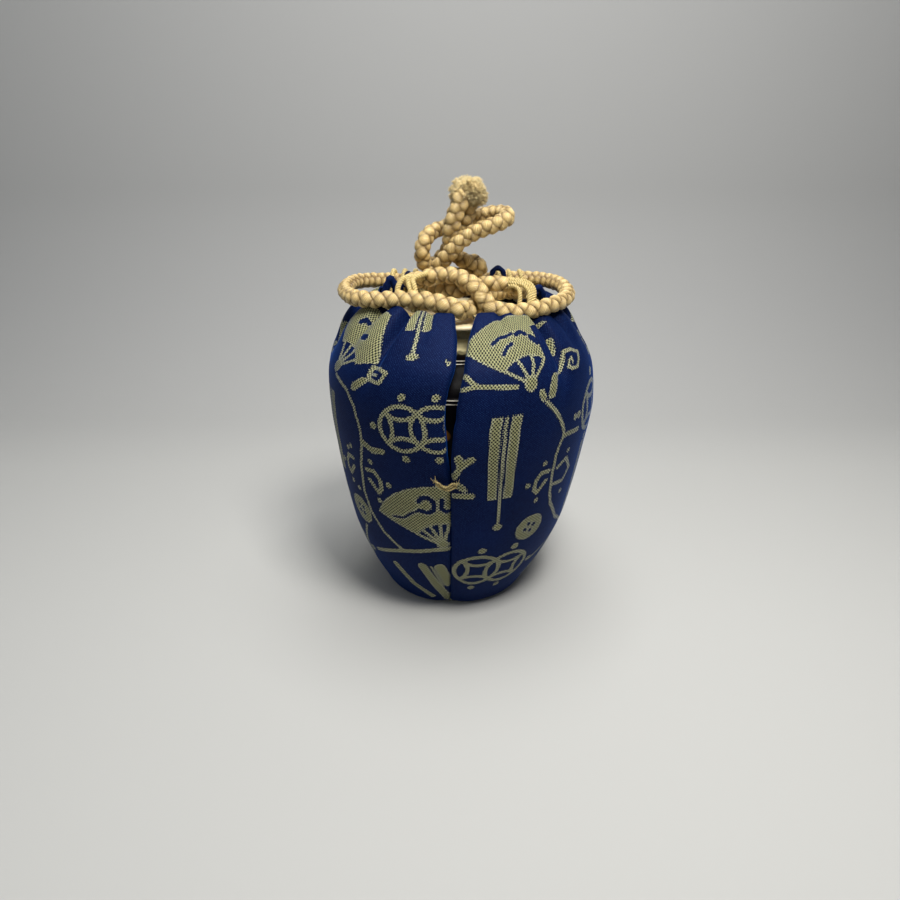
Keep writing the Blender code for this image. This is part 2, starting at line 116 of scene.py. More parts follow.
MOUTH_SIDE = 21.3
MOUTH_LIFT = 2.3
MOUTH_DIP = 1.1
MOUTH_DIP_ANGLE = 0.75
MOUTH_RIPPLE = 0.45
BODY_SWAY = 0.35
WEAVE_RADIUS = 33.0
WEAVE_TURN = 53
GATHER = 0.38
GATHER_FROM = 66.0
CLOTH_ROWS = 250
CLOTH_COLUMNS = 250
PLAIN_ROWS = 90
PLAIN_START = 0.05
PLAIN_DROP = 1.2
FIELD_FAR = 3.0
FIGURE_REACH = 30
SIDES = ((-1, "left"), (1, "right"))
LAYERS = {"brocade": (0.0, 0.6), "padding": (0.9, 1.6), "lining": (2.8, 0.5)}

# Round layers of the base: radius, lower and upper height
BASE_DISCS = {"brocade": (17.2, 0.0, 0.7), "padding": (15.5, 0.9, 2.5), "lining": (15.2, 2.8, 3.3)}

# Route of the cord's middle line in millimetres, from one end in the tuft to the other
CORD_ROUTE = [
    (3.0, 1.4, 98.6), (2.9, 1.4, 97.0), (2.5, 1.5, 95.5), (1.8, 1.9, 93.5), (0.7, 3.0, 91.4),
    (-0.6, 5.0, 89.1), (-2.4, 6.8, 86.4), (-4.4, 7.2, 84.0), (-6.6, 5.2, 82.8), (-8.0, 2.2, 84.2),
    (-8.3, 0.6, 86.7), (-7.9, 0.8, 88.9), (-6.6, 2.6, 90.7), (-4.6, 4.8, 91.5), (-1.7, 6.0, 92.2),
    (1.4, 6.3, 93.2), (4.5, 6.0, 94.2), (7.6, 5.4, 95.0), (10.2, 3.8, 95.3), (11.5, 1.0, 95.1),
    (10.8, -1.9, 94.3), (8.3, -3.3, 93.4), (5.4, -3.6, 92.4), (2.6, -3.6, 91.1), (0.1, -3.7, 89.3),
    (-1.9, -2.9, 86.9), (-4.0, -1.2, 84.3), (-5.4, 0.1, 81.9), (-6.2, 0.0, 79.8), (-5.3, -2.0, 78.3),
    (-2.6, -4.7, 78.7), (0.6, -6.2, 79.3), (3.8, -6.7, 80.2), (7.0, -6.9, 80.8), (10.5, -6.7, 80.7),
    (13.5, -4.8, 79.7), (15.2, -0.9, 78.2), (14.8, 3.0, 77.2), (12.2, 4.8, 76.7), (8.9, 3.8, 76.6),
    (6.4, 0.0, 76.6), (4.9, -5.2, 76.6), (3.4, -11.2, 76.2), (1.0, -14.1, 76.3), (-2.6, -14.3, 77.4),
    (-6.4, -13.2, 78.1), (-9.8, -12.5, 78.3), (-13.0, -12.2, 78.3), (-16.4, -11.8, 78.2),
    (-20.0, -11.0, 78.1), (-23.6, -8.4, 77.9), (-26.2, -3.0, 78.0), (-26.8, 3.0, 78.4),
    (-25.2, 7.6, 78.7), (-22.0, 10.0, 78.6), (-18.4, 10.7, 78.5), (-13.4, 10.8, 78.3),
    (-7.8, 11.0, 78.3), (-1.7, 11.0, 78.4), (4.4, 11.0, 78.6), (10.0, 10.9, 78.7), (15.1, 10.8, 78.9),
    (19.6, 10.2, 78.9), (23.4, 8.0, 78.7), (25.8, 4.0, 78.3), (26.3, -1.0, 77.5), (24.8, -6.4, 77.1),
    (21.6, -10.6, 76.9), (18.0, -13.0, 76.4), (14.7, -13.9, 76.1), (11.5, -14.3, 76.0),
    (8.8, -14.2, 76.4), (6.4, -13.5, 77.8), (4.5, -11.9, 80.4), (2.3, -10.2, 81.9), (-0.1, -8.2, 82.7),
    (-3.1, -6.4, 82.7), (-6.1, -5.2, 82.1), (-9.0, -3.6, 81.2), (-11.0, 0.4, 80.1), (-10.4, 5.0, 79.3),
    (-6.9, 6.7, 79.0), (-2.7, 6.3, 79.8), (0.8, 4.6, 81.2), (3.8, 3.2, 81.4), (5.6, 2.4, 82.6),
    (4.7, 1.9, 84.1), (2.5, 1.9, 84.5), (0.2, 2.0, 85.4), (-1.5, 1.0, 88.0), (-1.5, -0.8, 91.3),
    (-1.1, -1.6, 93.8), (-0.4, -1.8, 95.8), (0.2, -1.8, 97.2), (0.6, -1.7, 98.6),
]

# Gold edge thread in millimetres, and the angles in degrees that its run goes between
THREAD_PLY = {-1: 0.32, 1: 0.27}
THREAD_PITCH = 1.75
THREAD_PLIES = 3
THREAD_INSIDE = 1.6
THREAD_HEIGHT = 74.9
THREAD_STEP = 0.12
THREAD_ANGLES = (14, 166)

# Arches of the gold thread that show inside the cord's ring, as points in millimetres
ARCHES = {
    -1: [
        [(-13.8, -12.6, 75.8), (-13.6, -11.8, 79.0), (-13.3, -10.8, 81.0), (-12.8, -10.0, 81.9),
         (-12.3, -9.3, 82.4), (-11.6, -8.8, 82.6), (-10.8, -8.2, 82.6), (-9.4, -7.0, 82.2),
         (-8.0, -5.6, 81.4)],
        [(-9.9, -12.9, 75.8), (-10.2, -12.2, 78.6), (-10.6, -11.2, 80.2), (-11.0, -10.2, 81.2),
         (-11.2, -9.6, 82.0), (-11.0, -9.1, 82.5), (-10.3, -8.7, 82.7), (-9.2, -8.0, 82.6),
         (-7.8, -6.6, 82.0)],
        [(-8.8, -12.8, 75.8), (-9.4, -11.8, 79.8), (-9.8, -10.8, 81.3), (-10.1, -9.8, 81.9),
         (-10.0, -9.2, 82.3), (-9.4, -8.8, 82.6), (-8.6, -8.2, 82.8), (-7.6, -7.2, 83.0),
         (-6.4, -5.8, 82.8)],
    ],
    1: [
        [(9.6, -5.0, 80.6), (11.2, -6.8, 81.8), (12.7, -7.6, 81.9), (14.1, -7.8, 81.7), (15.2, -8.0, 81.6),
         (16.3, -8.3, 81.2), (17.1, -9.0, 80.5), (17.4, -9.9, 79.6), (17.2, -11.0, 78.0),
         (16.6, -12.0, 75.6)],
        [(9.9, -5.8, 80.9), (11.4, -7.4, 81.7), (12.9, -8.1, 81.7), (14.2, -8.4, 81.5), (15.3, -8.8, 81.2),
         (16.3, -9.3, 80.6), (16.8, -10.1, 79.6), (16.8, -11.2, 78.0), (16.2, -12.2, 75.6)],
        [(10.4, -6.6, 81.0), (11.8, -8.0, 81.3), (13.1, -8.6, 81.2), (14.4, -9.0, 81.1), (15.5, -9.7, 80.5),
         (16.1, -10.4, 79.6), (16.2, -11.4, 78.0), (15.6, -12.6, 75.6)],
        [(11.6, -8.2, 80.6), (13.1, -9.0, 80.6), (13.9, -9.9, 80.0), (14.1, -10.8, 79.0),
         (14.0, -11.6, 77.8), (13.6, -12.8, 75.6)],
    ],
}

# Loops over the cord's back run: their places across, the run's middle, radius of their feet, their reach
BACK_ARCHES = [10.6, 13.2, 15.8]
BACK_RUN = (10.9, 78.4)
BACK_FOOT = 17.9
ARCH_REACH = 2.35

# Dark cloth folds that stand up inside the ring: points of each ridge in millimetres and its half width
FOLDS = [
    ([(-17.2, -3.6, 77.6), (-16.3, -3.2, 80.2), (-15.7, -3.0, 81.2), (-15.0, -2.8, 80.4),
      (-14.3, -2.6, 77.6)], 0.85),
    ([(-13.2, 6.2, 77.6), (-12.6, 6.6, 80.5), (-12.0, 6.9, 80.9), (-11.4, 7.2, 80.0),
      (-11.0, 7.4, 77.6)], 0.5),
    ([(-13.6, 2.4, 77.6), (-13.2, 2.8, 80.2), (-12.7, 2.9, 80.6), (-12.2, 3.0, 80.0),
      (-12.0, 3.0, 77.6)], 0.45),
    ([(8.2, 4.8, 77.6), (8.5, 5.0, 80.8), (9.2, 5.1, 82.1), (10.1, 5.2, 82.4), (11.0, 5.2, 81.9),
      (11.6, 5.2, 80.6), (11.8, 5.2, 77.6)], 0.60),
    ([(17.6, -4.8, 76.2), (18.2, -4.4, 78.8), (19.0, -4.1, 79.3), (19.8, -3.8, 78.6),
      (20.4, -3.4, 76.4)], 0.8),
]

# Bar tacks across the feet of the two slits: middle lines, strand radius and pitch, strands, loose hairs
TACKS = {
    "front": [(-4.9, -31.9, 42.4), (-4.2, -32.2, 41.7), (-3.4, -32.4, 41.3), (-2.5, -32.5, 41.2),
              (-1.6, -32.5, 41.5), (-0.8, -32.4, 41.9), (-0.2, -32.3, 41.8)],
    "back": [(5.0, 31.4, 42.2), (4.0, 31.9, 41.4), (2.9, 32.2, 41.2), (1.8, 32.3, 41.5),
             (0.6, 32.3, 42.2), (-0.4, 32.1, 43.2)],
}
TACK_THREAD = (0.13, 0.8)
TACK_STRANDS = 4
TACK_HAIRS = 9

# Cut pile on the cord's ends, and the thread wound round them just under it
TUFT_CENTRE = (2.5, 0.9, 100.0)
TUFT_SIZE = (4.55, 4.3, 3.55)
TUFT_CORE = (3.5, 3.2, 2.7)
TUFT_OPEN = (-0.42, -0.72, -0.66)
TUFT_CLUMPS = 60
TUFT_YARNS = 6800
BINDING_TURNS = 3
BINDING_STEPS = 40
BINDING_TOP = 99.4
BINDING_PITCH = 0.42
BINDING_REACH = 1.62
BINDING_THREAD = (0.17, 1.2)

# Soft lamps in metres: place, point aimed at, size, power, colour
LAMPS = [
    ("top", (0.02, 0.03, 0.42), (0.0, 0.0, 0.05), 0.22, 0.86, (1.0, 0.99, 0.97)),
    ("key", (0.055, -0.115, 0.28), (0.0, 0.0, 0.08), 0.08, 0.69, (1.0, 0.97, 0.92)),
    ("fill", (-0.32, -0.20, 0.20), (0.0, 0.0, 0.04), 0.30, 0.14, (0.90, 0.95, 1.0)),
]


def add_object(name, data):
    """A new object in the scene for some data."""
    obj = bpy.data.objects.new(name, data)
    bpy.context.scene.collection.objects.link(obj)
    return obj


def add_mesh(name, verts, faces, material, attributes=None):
    """A smooth-shaded mesh object from points in millimetres, with point attributes."""
    mesh = bpy.data.meshes.new(name)
    mesh.from_pydata((np.asarray(verts) * MM).tolist(), [], faces)
    mesh.shade_smooth()
    for label, values in (attributes or {}).items():
        values = np.asarray(values, np.float32)
        kind, slot = ("FLOAT_VECTOR", "vector") if values.ndim == 2 else ("FLOAT", "value")
        mesh.attributes.new(label, kind, "POINT").data.foreach_set(slot, values.ravel())
    mesh.materials.append(material)
    mesh.update()
    return add_object(name, mesh)


def travelled(line):
    """Distance along a line at each of its points."""
    return np.concatenate([[0], np.cumsum(np.linalg.norm(np.diff(line, axis=0), axis=1))])


def smooth_line(points, step):
    """Points a set step apart along a centripetal curve through the given ones."""
    given = np.asarray(points, float)
    row = np.vstack([2 * given[0] - given[1], given, 2 * given[-1] - given[-2]])
    read = []
    for a, b, c, d in zip(row, row[1:], row[2:], row[3:]):
        kb = np.linalg.norm(b - a) ** 0.5
        kc = kb + np.linalg.norm(c - b) ** 0.5
        kd = kc + np.linalg.norm(d - c) ** 0.5
        at = np.linspace(kb, kc, 16, endpoint=False)[:, None]
        ab = a * (kb - at) / kb + b * at / kb
        bc = b * (kc - at) / (kc - kb) + c * (at - kb) / (kc - kb)
        cd = c * (kd - at) / (kd - kc) + d * (at - kc) / (kd - kc)
        abc = ab * (kc - at) / kc + bc * at / kc
        bcd = bc * (kd - at) / (kd - kb) + cd * (at - kb) / (kd - kb)
        read.append(abc * (kc - at) / (kc - kb) + bcd * (at - kb) / (kc - kb))
    dense = np.vstack([*read, given[-1:]])
    along = travelled(dense)
    marks = np.linspace(0, along[-1], max(2, round(along[-1] / step) + 1))
    return np.stack([np.interp(marks, along, axis) for axis in dense.T], axis=1)


def unit(rows):
    """Rows scaled to length one."""
    return rows / np.maximum(np.linalg.norm(rows, axis=-1, keepdims=True), 1e-9)


def frames_along(line):
    """Two side directions along a line, turned as little as possible."""
    tangent = unit(np.gradient(line, axis=0))
    side = np.zeros_like(line)
    start = np.array([0, 0, 1.0])
    if abs(start @ tangent[0]) > 0.9:
        start = np.array([1.0, 0, 0])
    side[0] = unit(start - tangent[0] * (start @ tangent[0]))
    for i in range(len(line) - 1):
        hop = line[i + 1] - line[i]
        span = hop @ hop
        turned = side[i] - 2 / span * (hop @ side[i]) * hop
        facing = tangent[i] - 2 / span * (hop @ tangent[i]) * hop
        fix = tangent[i + 1] - facing
        size = fix @ fix
        side[i + 1] = turned - 2 / size * (fix @ turned) * fix if size > 1e-12 else turned
    return side, np.cross(tangent, side)


def tube_faces(count, sides):
    """Faces of a tube of rings, closed at its ends on the two points that follow the rings."""
    i, j = np.meshgrid(np.arange(count - 1), np.arange(sides), indexing="ij")
    k = (j + 1) % sides
    quads = np.stack([i * sides + j, i * sides + k, (i + 1) * sides + k, (i + 1) * sides + j], -1)
    faces = quads.reshape(-1, 4).tolist()
    low, last = count * sides, (count - 1) * sides
    for j in range(sides):
        k = (j + 1) % sides
        faces.append([low, k, j])
        faces.append([low + 1, last + j, last + k])
    return faces


def sweep(line, across, beside, sides):
    """Points, faces and thread coordinates of a closed tube with half axes across and beside."""
    turn = np.arange(sides) * math.tau / sides
    ring = line[:, None] + across[:, None] * np.cos(turn)[:, None] + beside[:, None] * np.sin(turn)[:, None]
    verts = np.vstack([ring.reshape(-1, 3), line[:1], line[-1:]])
    along = travelled(line)
    thread = np.ones((len(verts), 3))
    thread[:-2, 0] = np.repeat(along, sides)
    thread[:-2, 1] = np.tile(np.minimum(turn, math.tau - turn), len(line))
    thread[-2:, 0] = along[0], along[-1]
    return verts, tube_faces(len(line), sides), thread


def join_sweeps(parts):
    """Several swept tubes as one run of points, faces and thread coordinates."""
    verts, faces, threads, base = [], [], [], 0
    for points, quads, thread in parts:
        verts.append(points)
        faces += [[base + v for v in face] for face in quads]
        threads.append(thread)
        base += len(points)
    return np.vstack(verts), faces, np.vstack(threads)


def add_threads(name, parts, material):
    """A mesh object from swept tubes, with their thread coordinates."""
    verts, faces, threads = join_sweeps(parts)
    return add_mesh(name, verts, faces, material, {"thread": threads})


def strand(line, axes, angle, radius, deep, wide, sides):
    """The path and the tube of one strand wound round a line, with half axes deep and wide."""
    side, up = axes
    out = side * np.cos(angle)[:, None] + up * np.sin(angle)[:, None]
    path = line + out * radius
    tangent = unit(np.gradient(path, axis=0))
    radial = unit(out - tangent * np.sum(out * tangent, axis=1, keepdims=True))
    return path, sweep(path, radial * deep, np.cross(tangent, radial) * wide, sides)


def girth_along(line):
    """How plump the braid is at each point: fuller in the front runs and in one end of the column."""
    x, y, z = line.T
    front = np.clip((-y - 9.5) / 3, 0, 1) * np.exp(-(((x + 2.5) / 9) ** 2))
    top = np.clip((z - 88) / 4, 0, 1) * (np.arange(len(line)) > 0.9 * len(line))
    return 1 + 0.13 * front + 0.10 * top


def tightness_along(line):
    """How much shorter the braid's pitch is at each point: closer round the back and up the column."""
    x, y, z = line.T
    behind = np.maximum(ramp(y, 1.0, 7.0), ramp(-x, 21.0, 25.0)) * ramp(-z, -81.0, -80.0)
    column = ramp(z, 84.0, 88.0)
    return 1 + BRAID_TIGHT_BACK * behind + BRAID_TIGHT_UP * column


def braid(line):
    """Tubes of four plump strands plaited round a line: two turn one way and two the other."""
    axes = frames_along(line)
    girth = girth_along(line)[:, None]
    rate = tightness_along(line) / BRAID_PITCH
    turns = np.cumsum((rate[1:] + rate[:-1]) / 2 * np.diff(travelled(line)))
    wound = math.tau * np.concatenate([[0], turns])
    paths, tubes = [], []
    for way in (1, -1):
        over = way * np.cos(2 * wound)[:, None]
        radius = (BRAID_RADIUS + BRAID_WAVE * over) * girth
        swell = (1 + STRAND_SWELL * over) * girth
        for start in (0, math.pi):
            path, tube = strand(line, axes, way * wound + start, radius,
                                STRAND_DEEP * swell, STRAND_WIDE * swell, STRAND_SIDES)
            paths.append(path)
            tubes.append(tube)
    count = len(line)
    # Painted shade: the third thread coordinate is each point's share of lit colour, dropping to the crease
    # colour where another strand lies close
    for own, (verts, _, thread) in enumerate(tubes):
        ring = verts[:-2].reshape(count, STRAND_SIDES, 3)
        gap = np.full((count, STRAND_SIDES), 9.0)
        for path in paths[:own] + paths[own + 1:]:
            for hop in range(-12, 13):
                near = path[np.clip(np.arange(count) + hop, 0, count - 1)]
                gap = np.minimum(gap, np.linalg.norm(ring - near[:, None], axis=2) / girth)
        thread[:-2, 2] = np.clip((gap - CREASE_NEAR) / (CREASE_FAR - CREASE_NEAR), 0, 1).ravel()
    return tubes


def twist(line, ply_radius, pitch, plies=2, phase=0.0, spread=0.9):
    """Tubes of the twisted plies of a thread along a line, with painted shade where they meet."""
    axes = frames_along(line)
    along = travelled(line)
    heart = np.vstack([np.repeat(line, PLY_SIDES, axis=0), line[:1], line[-1:]])
    tubes = []
    for ply in range(plies):
        angle = math.tau * (along / pitch + ply / plies) + phase
        _, tube = strand(line, axes, angle, ply_radius * spread, ply_radius, ply_radius * 1.08, PLY_SIDES)
        verts, _, thread = tube
        # Painted shade: the plies darken towards the thread's middle, where they press together
        far = np.linalg.norm(verts - heart, axis=1) / (ply_radius * (1 + spread))
        thread[:, 2] = np.clip((far - 0.80) / 0.17, 0, 1)
        tubes.append(tube)
    return tubes


def ramp(value, low, high):
    """A smooth climb from 0 at low to 1 at high."""
    t = np.clip((value - low) / (high - low), 0, 1)
    return t * t * (3 - 2 * t)


# Pleats of each half: angle from the front slit in degrees, depth at the mouth, lowest height, width
PLEATS = {
    -1: [(19, 0.9, 68, 1.0), (37, 3.0, 58, 1.15), (57, 1.5, 64, 1.3), (80, 1.9, 60, 1.6),
         (104, 1.4, 64, 1.4), (126, 2.1, 60, 1.4), (147, 1.3, 65, 1.2), (163, 1.6, 63, 1.2)],
    1: [(20, 0.9, 69, 1.0), (46, 3.2, 56, 1.2), (63, 1.4, 64, 1.3), (84, 1.8, 61, 1.6),
        (108, 1.5, 63, 1.4), (129, 2.0, 60, 1.4), (149, 1.4, 65, 1.2), (164, 1.5, 63, 1.2)],
}
PLEAT_TOP = 76


def cloth_points(side, turn, rows, inset, wall):
    """Points of one layer of one half: turn is the angle from the front slit, rows are profile rows."""
    radius, height = rows[:, 0][:, None], rows[:, 1][:, None]
    run = unit(np.gradient(rows, axis=0))
    out_r, out_z = run[:, 1][:, None], -run[:, 0][:, None]
    angle = turn[None, :] + 0 * radius
    mouth = ramp(height, *MOUTH_HEIGHTS)
    target = MOUTH_FRONT + (MOUTH_SIDE - MOUTH_FRONT) * np.sin(angle) ** 2
    swell = mouth * (target - SKIN[-1][0])
    lift = mouth * (MOUTH_LIFT - MOUTH_DIP * np.exp(-((angle / MOUTH_DIP_ANGLE) ** 2)))
    depth = -inset + 0 * angle
    for degrees, deep, low, wide in PLEATS[side]:
        arc = (angle - math.radians(degrees)) * radius
        grow = ramp(height, low, PLEAT_TOP)
        width = wide * (1.9 - 0.9 * grow)
        depth -= deep * grow * np.exp(-((arc / width) ** 2))
    depth += MOUTH_RIPPLE * mouth * np.cos(angle * 16) * np.sin(angle) ** 2
    belly = ramp(height, 4, 30) * np.sin(math.pi * np.clip(height / SKIN[-1][1], 0, 1))
    depth += BODY_SWAY * np.sin(angle * 3 + side) * belly
    gap = np.interp(height, *zip(*SLIT_GAPS[side]))
    seam = ramp(height, SLIT_BOTTOM - 3, SLIT_BOTTOM + 4)
    turn_in = SEAM_ROUND + (EDGE_ROUND - SEAM_ROUND) * seam
    near = np.minimum(angle, math.pi - angle) * radius
    lip = np.clip(1 - near / turn_in, 0, 1)
    depth -= turn_in * (1 - np.sqrt(np.clip(1 - lip**2, 0, 1)))
    depth -= SEAM_DENT * np.exp(-((near / SEAM_DENT_WIDTH) ** 2)) * (1 - seam)
    depth -= wall[None, :]
    place_r = radius + swell + depth * out_r
    place_z = height + lift + depth * out_z
    x = side * (place_r * np.sin(angle) + gap * np.abs(np.cos(angle)) ** 4)
    y = -place_r * np.cos(angle)
    turned = np.radians(np.interp(height, *zip(*SEAM_TURNS)))
    place_x = x * np.cos(turned) - y * np.sin(turned) + np.interp(height, *zip(*SEAM_SHIFTS))
    place_y = y * np.cos(turned) + x * np.sin(turned)
    return np.stack([place_x, place_y, place_z], -1)


def grid_normals(points):
    """Outward directions of a grid of points."""
    down = np.gradient(points, axis=0)
    along = np.gradient(points, axis=1)
    return unit(np.cross(along, down))


def shell_faces(rows, columns, flip):
    """Faces of a closed shell: an outer grid, an inner grid and the rims that join them."""
    index = np.arange(rows * columns).reshape(rows, columns)
    a, b, c, d = index[:-1, :-1], index[:-1, 1:], index[1:, 1:], index[1:, :-1]
    outer = np.stack([a, b, c, d], -1).reshape(-1, 4)
    inner = np.stack([a, d, c, b], -1).reshape(-1, 4) + index.size
    rim = np.concatenate([index[0, :-1], index[:-1, -1], index[-1, :0:-1], index[:0:-1, 0]])
    after = np.roll(rim, -1)
    joins = np.stack([after, rim, rim + index.size, after + index.size], -1)
    faces = np.concatenate([outer, inner, joins])
    if flip:
        faces = faces[:, ::-1]
    return faces.tolist()


def profile_rows(count):
    """Rows of the cloth's outer profile, evenly apart, from the base to the mouth."""
    line = smooth_line(SKIN, 0.05)
    along = travelled(line)
    marks = np.linspace(0, along[-1], count)
    return np.stack([np.interp(marks, along, axis) for axis in line.T], -1), marks


def edge_columns(count, wall_steps):
    """Angles from slit to slit, closer together at the edges, and the depth of the turned-in walls."""
    even = np.linspace(0, 1, count)
    eased = even - 0.11 * np.sin(math.tau * even) / math.tau * 2
    angles = 0.0005 + (math.pi - 0.001) * eased
    deep = np.linspace(EDGE_WALL, EDGE_WALL / wall_steps, wall_steps)
    turn = np.concatenate([np.full(wall_steps, angles[0]), angles, np.full(wall_steps, angles[-1])])
    wall = np.concatenate([deep, np.zeros(count), deep[::-1]])
    return turn, wall


def build_layer(side, word, layer, material):
    """One layer of one half of the pouch as a closed shell."""
    inset, thick = LAYERS[layer]
    fine = layer == "brocade"
    if fine:
        rows, marks = profile_rows(CLOTH_ROWS)
        turn, wall = edge_columns(CLOTH_COLUMNS, EDGE_STEPS)
    else:
        rows, marks = profile_rows(PLAIN_ROWS)
        rows = rows[marks < marks[-1] - PLAIN_DROP]
        turn, wall = np.linspace(PLAIN_START, math.pi - PLAIN_START, PLAIN_ROWS), np.zeros(PLAIN_ROWS)
    points = cloth_points(side, turn, rows, inset, wall)
    inner = points - side * grid_normals(points) * thick
    faces = shell_faces(*points.shape[:2], side < 0)
    verts = np.concatenate([points.reshape(-1, 3), inner.reshape(-1, 3)])
    if not fine:
        return add_mesh(f"{layer}_{word}", verts, faces, material)
    angle = np.tile(turn, (len(rows), 1))
    figure = np.where(wall > 0, FIELD_FAR, motif_field(side, angle, marks, rows))
    steps = np.linalg.norm(np.diff(points, axis=1), axis=2) - rows[:, 0][:, None] * np.diff(angle, axis=1)
    slack = np.concatenate([np.zeros((len(rows), 1)), np.cumsum(np.maximum(steps, 0), axis=1)], axis=1)
    grain = np.where(rows[:, 1] < WEAVE_TURN, rows[:, 0], WEAVE_RADIUS)[:, None]
    weave = np.stack([angle * grain + slack, marks[:, None] + 0 * angle, 0 * angle], -1).reshape(-1, 3)
    figure = np.concatenate([figure.ravel(), np.full(figure.size, FIELD_FAR)])
    weave = np.concatenate([weave, weave])
    return add_mesh(f"{layer}_{word}", verts, faces, material, {"figure": figure, "weave": weave})


def segment(x, y, ax, ay, bx, by, wide):
    """Distance to a straight bar with round ends, of half width wide."""
    dx, dy = bx - ax, by - ay
    t = np.clip(((x - ax) * dx + (y - ay) * dy) / (dx * dx + dy * dy), 0, 1)
    return np.hypot(x - ax - t * dx, y - ay - t * dy) - wide


def stroke(x, y, points, wide):
    """Distance to a bent line of half width wide."""
    pairs = zip(points, points[1:])
    return np.minimum.reduce([segment(x, y, *a, *b, wide) for a, b in pairs])


def oval(x, y, cx, cy, rx, ry, turn=0.0):
    """Distance to an oval, near enough at its edge."""
    u = (x - cx) * math.cos(turn) + (y - cy) * math.sin(turn)
    v = -(x - cx) * math.sin(turn) + (y - cy) * math.cos(turn)
    return (np.hypot(u / rx, v / ry) - 1) * min(rx, ry)


def bar(x, y, cx, cy, hx, hy):
    """Distance to an upright box."""
    qx, qy = np.abs(x - cx) - hx, np.abs(y - cy) - hy
    return np.hypot(np.maximum(qx, 0), np.maximum(qy, 0)) + np.minimum(np.maximum(qx, qy), 0)


def wedge(x, y, low, high, first, last):
    """Distance to a ring sector between two radii and two angles in degrees."""
    r = np.hypot(x, y)
    middle, half = math.radians((first + last) / 2), math.radians((last - first) / 2)
    a = np.arctan2(y, x) - middle
    a = (a + math.pi) % math.tau - math.pi
    return np.maximum.reduce([r - high, low - r, r * np.sin(np.clip(np.abs(a) - half, -1.5, 1.5))])


def bead(x, y, cx, cy, radius):
    """Distance to a disc."""
    return np.hypot(x - cx, y - cy) - radius


def joined(*parts):
    """A figure made of parts, each a shape and its measures in millimetres."""
    def figure(x, y):
        return np.minimum.reduce([shape(x, y, *measures) for shape, *measures in parts])
    return figure


def open_fan(x, y, leaf, openings, ribs, reach=8.2, half=0.42, pivot=(0.2, 1.6, 2.3)):
    """A folding fan from the distance to its leaf, its openings and the directions of its ribs."""
    cloud = np.minimum.reduce([stroke(x, y, points, wide) for points, wide in openings])
    parts = [np.maximum(leaf, -cloud), oval(x, y, 0, *pivot)]
    for way in map(math.radians, ribs):
        parts.append(segment(x, y, 0, 0, reach * math.cos(way), reach * math.sin(way), half))
    return np.minimum.reduce(parts)


def fan(x, y):
    """An open folding fan with cloud-shaped openings, pivot at the middle."""
    return open_fan(x, y, wedge(x, y, 7.8, 20.2, 45, 149), [
        ([(-8.9, 11.6), (-6.5, 13.2), (-2.4, 14.1)], 0.5),
        ([(-1.2, 13.7), (0.7, 14.2), (2.0, 13.4)], 0.65),
        ([(3.3, 12.2), (4.4, 11.0)], 0.95),
        ([(-6.2, 8.9), (-4.9, 10.5), (-3.3, 11.3)], 0.5),
    ], (56, 81, 113, 145))


def fan_creased(x, y):
    """A fan whose right part lies inside a pleat, with two rounder openings."""
    leaf = np.maximum(wedge(x, y, 7.8, 20.6, 45, 139), (x - 9.5) * 0.785 + (y - 10.4) * 0.62)
    return open_fan(x, y, leaf, [
        ([(-6.0, 12.9), (-5.9, 14.6), (-4.5, 14.6)], 0.7),
        ([(-1.2, 11.4), (0.4, 11.6), (1.4, 12.1)], 0.85),
    ], (56, 81, 104, 127))


def fan_pleated(x, y):
    """The fan with the part of its leaf that a pleat swallows left out."""
    lost = np.maximum(4.9 - x, y - 15.4)
    strip = stroke(x, y, [(10.7, 10.6), (10.5, 9.4), (10.1, 7.6)], 0.95)
    return np.minimum(np.maximum(fan(x, y), -lost), strip)


def fan_curl(x, y):
    """A fan whose opening is one curled cloud."""
    return open_fan(x, y, wedge(x, y, 6.4, 17.2, 74, 156), [
        ([(-5.0, 12.6), (-4.3, 13.7), (-3.0, 14.0), (-2.0, 13.2), (-1.6, 11.8), (-1.9, 10.4), (-3.0, 9.7),
          (-5.0, 10.1)], 0.58),
        ([(-5.0, 10.1), (-6.8, 9.0), (-8.8, 7.2), (-11.6, 6.8)], 0.32),
        ([(0.1, 13.4), (-0.1, 10.9), (0.8, 10.1), (2.6, 10.3)], 0.55),
    ], (76, 96, 116, 136, 154), 6.8, 0.38, (0.1, 1.5, 1.1))


def coins(x, y):
    """Two linked rings with lens-shaped openings and round beads about them."""
    big, wide, hop = 5.7, 0.52, 5.7 * math.sqrt(2)
    found = [bead(x, y, -7.8, 0, 0.9), bead(x, y, hop + 7.8, 0, 0.9)]
    for cx in (0, hop):
        here = bead(x, y, cx, 0, big)
        found += [np.abs(here) - wide, bead(x, y, cx, 7.9, 0.95), bead(x, y, cx, -7.9, 0.95)]
        for ox, oy in ((hop, 0), (-hop, 0), (0, hop), (0, -hop)):
            arc = np.abs(bead(x, y, cx + ox, oy, big)) - wide
            found.append(np.maximum(arc, here))
    return np.minimum.reduce(found)


def coins_flat(x, y):
    """The linked rings a little lower than wide."""
    return coins(x, y / 0.93) * 0.96


# A rolled scroll: two bars and a pin between them that ends in a bead
scroll = joined(
    (bar, -2.45, 10.2, 1.35, 10.2),
    (bar, 2.45, 10.2, 1.35, 10.2),
    (segment, 0, 20.0, 0.0, -7.4, 0.42),
    (oval, 0, -8.2, 1.45, 0.95),
)


def scroll_slim(x, y):
    """A scroll that narrows towards its pin."""
    return scroll(x / (0.76 + 0.0055 * np.clip(y, 0, 20.4)), y) * 0.85


# A storehouse key: a bar, a shank and a square curl
key = joined(
    (segment, 0, 0, 0.9, 3.8, 1.2),
    (stroke, [(0.9, 3.8), (4.3, 4.9), (5.4, 7.6), (6.5, 10.0), (9.6, 9.7), (13.4, 8.0), (11.9, 6.1),
              (10.1, 4.1), (7.6, 4.4), (6.6, 5.3)], 0.48),
    (stroke, [(6.7, 5.3), (7.0, 7.0), (8.6, 7.6), (8.4, 6.1)], 0.36),
)

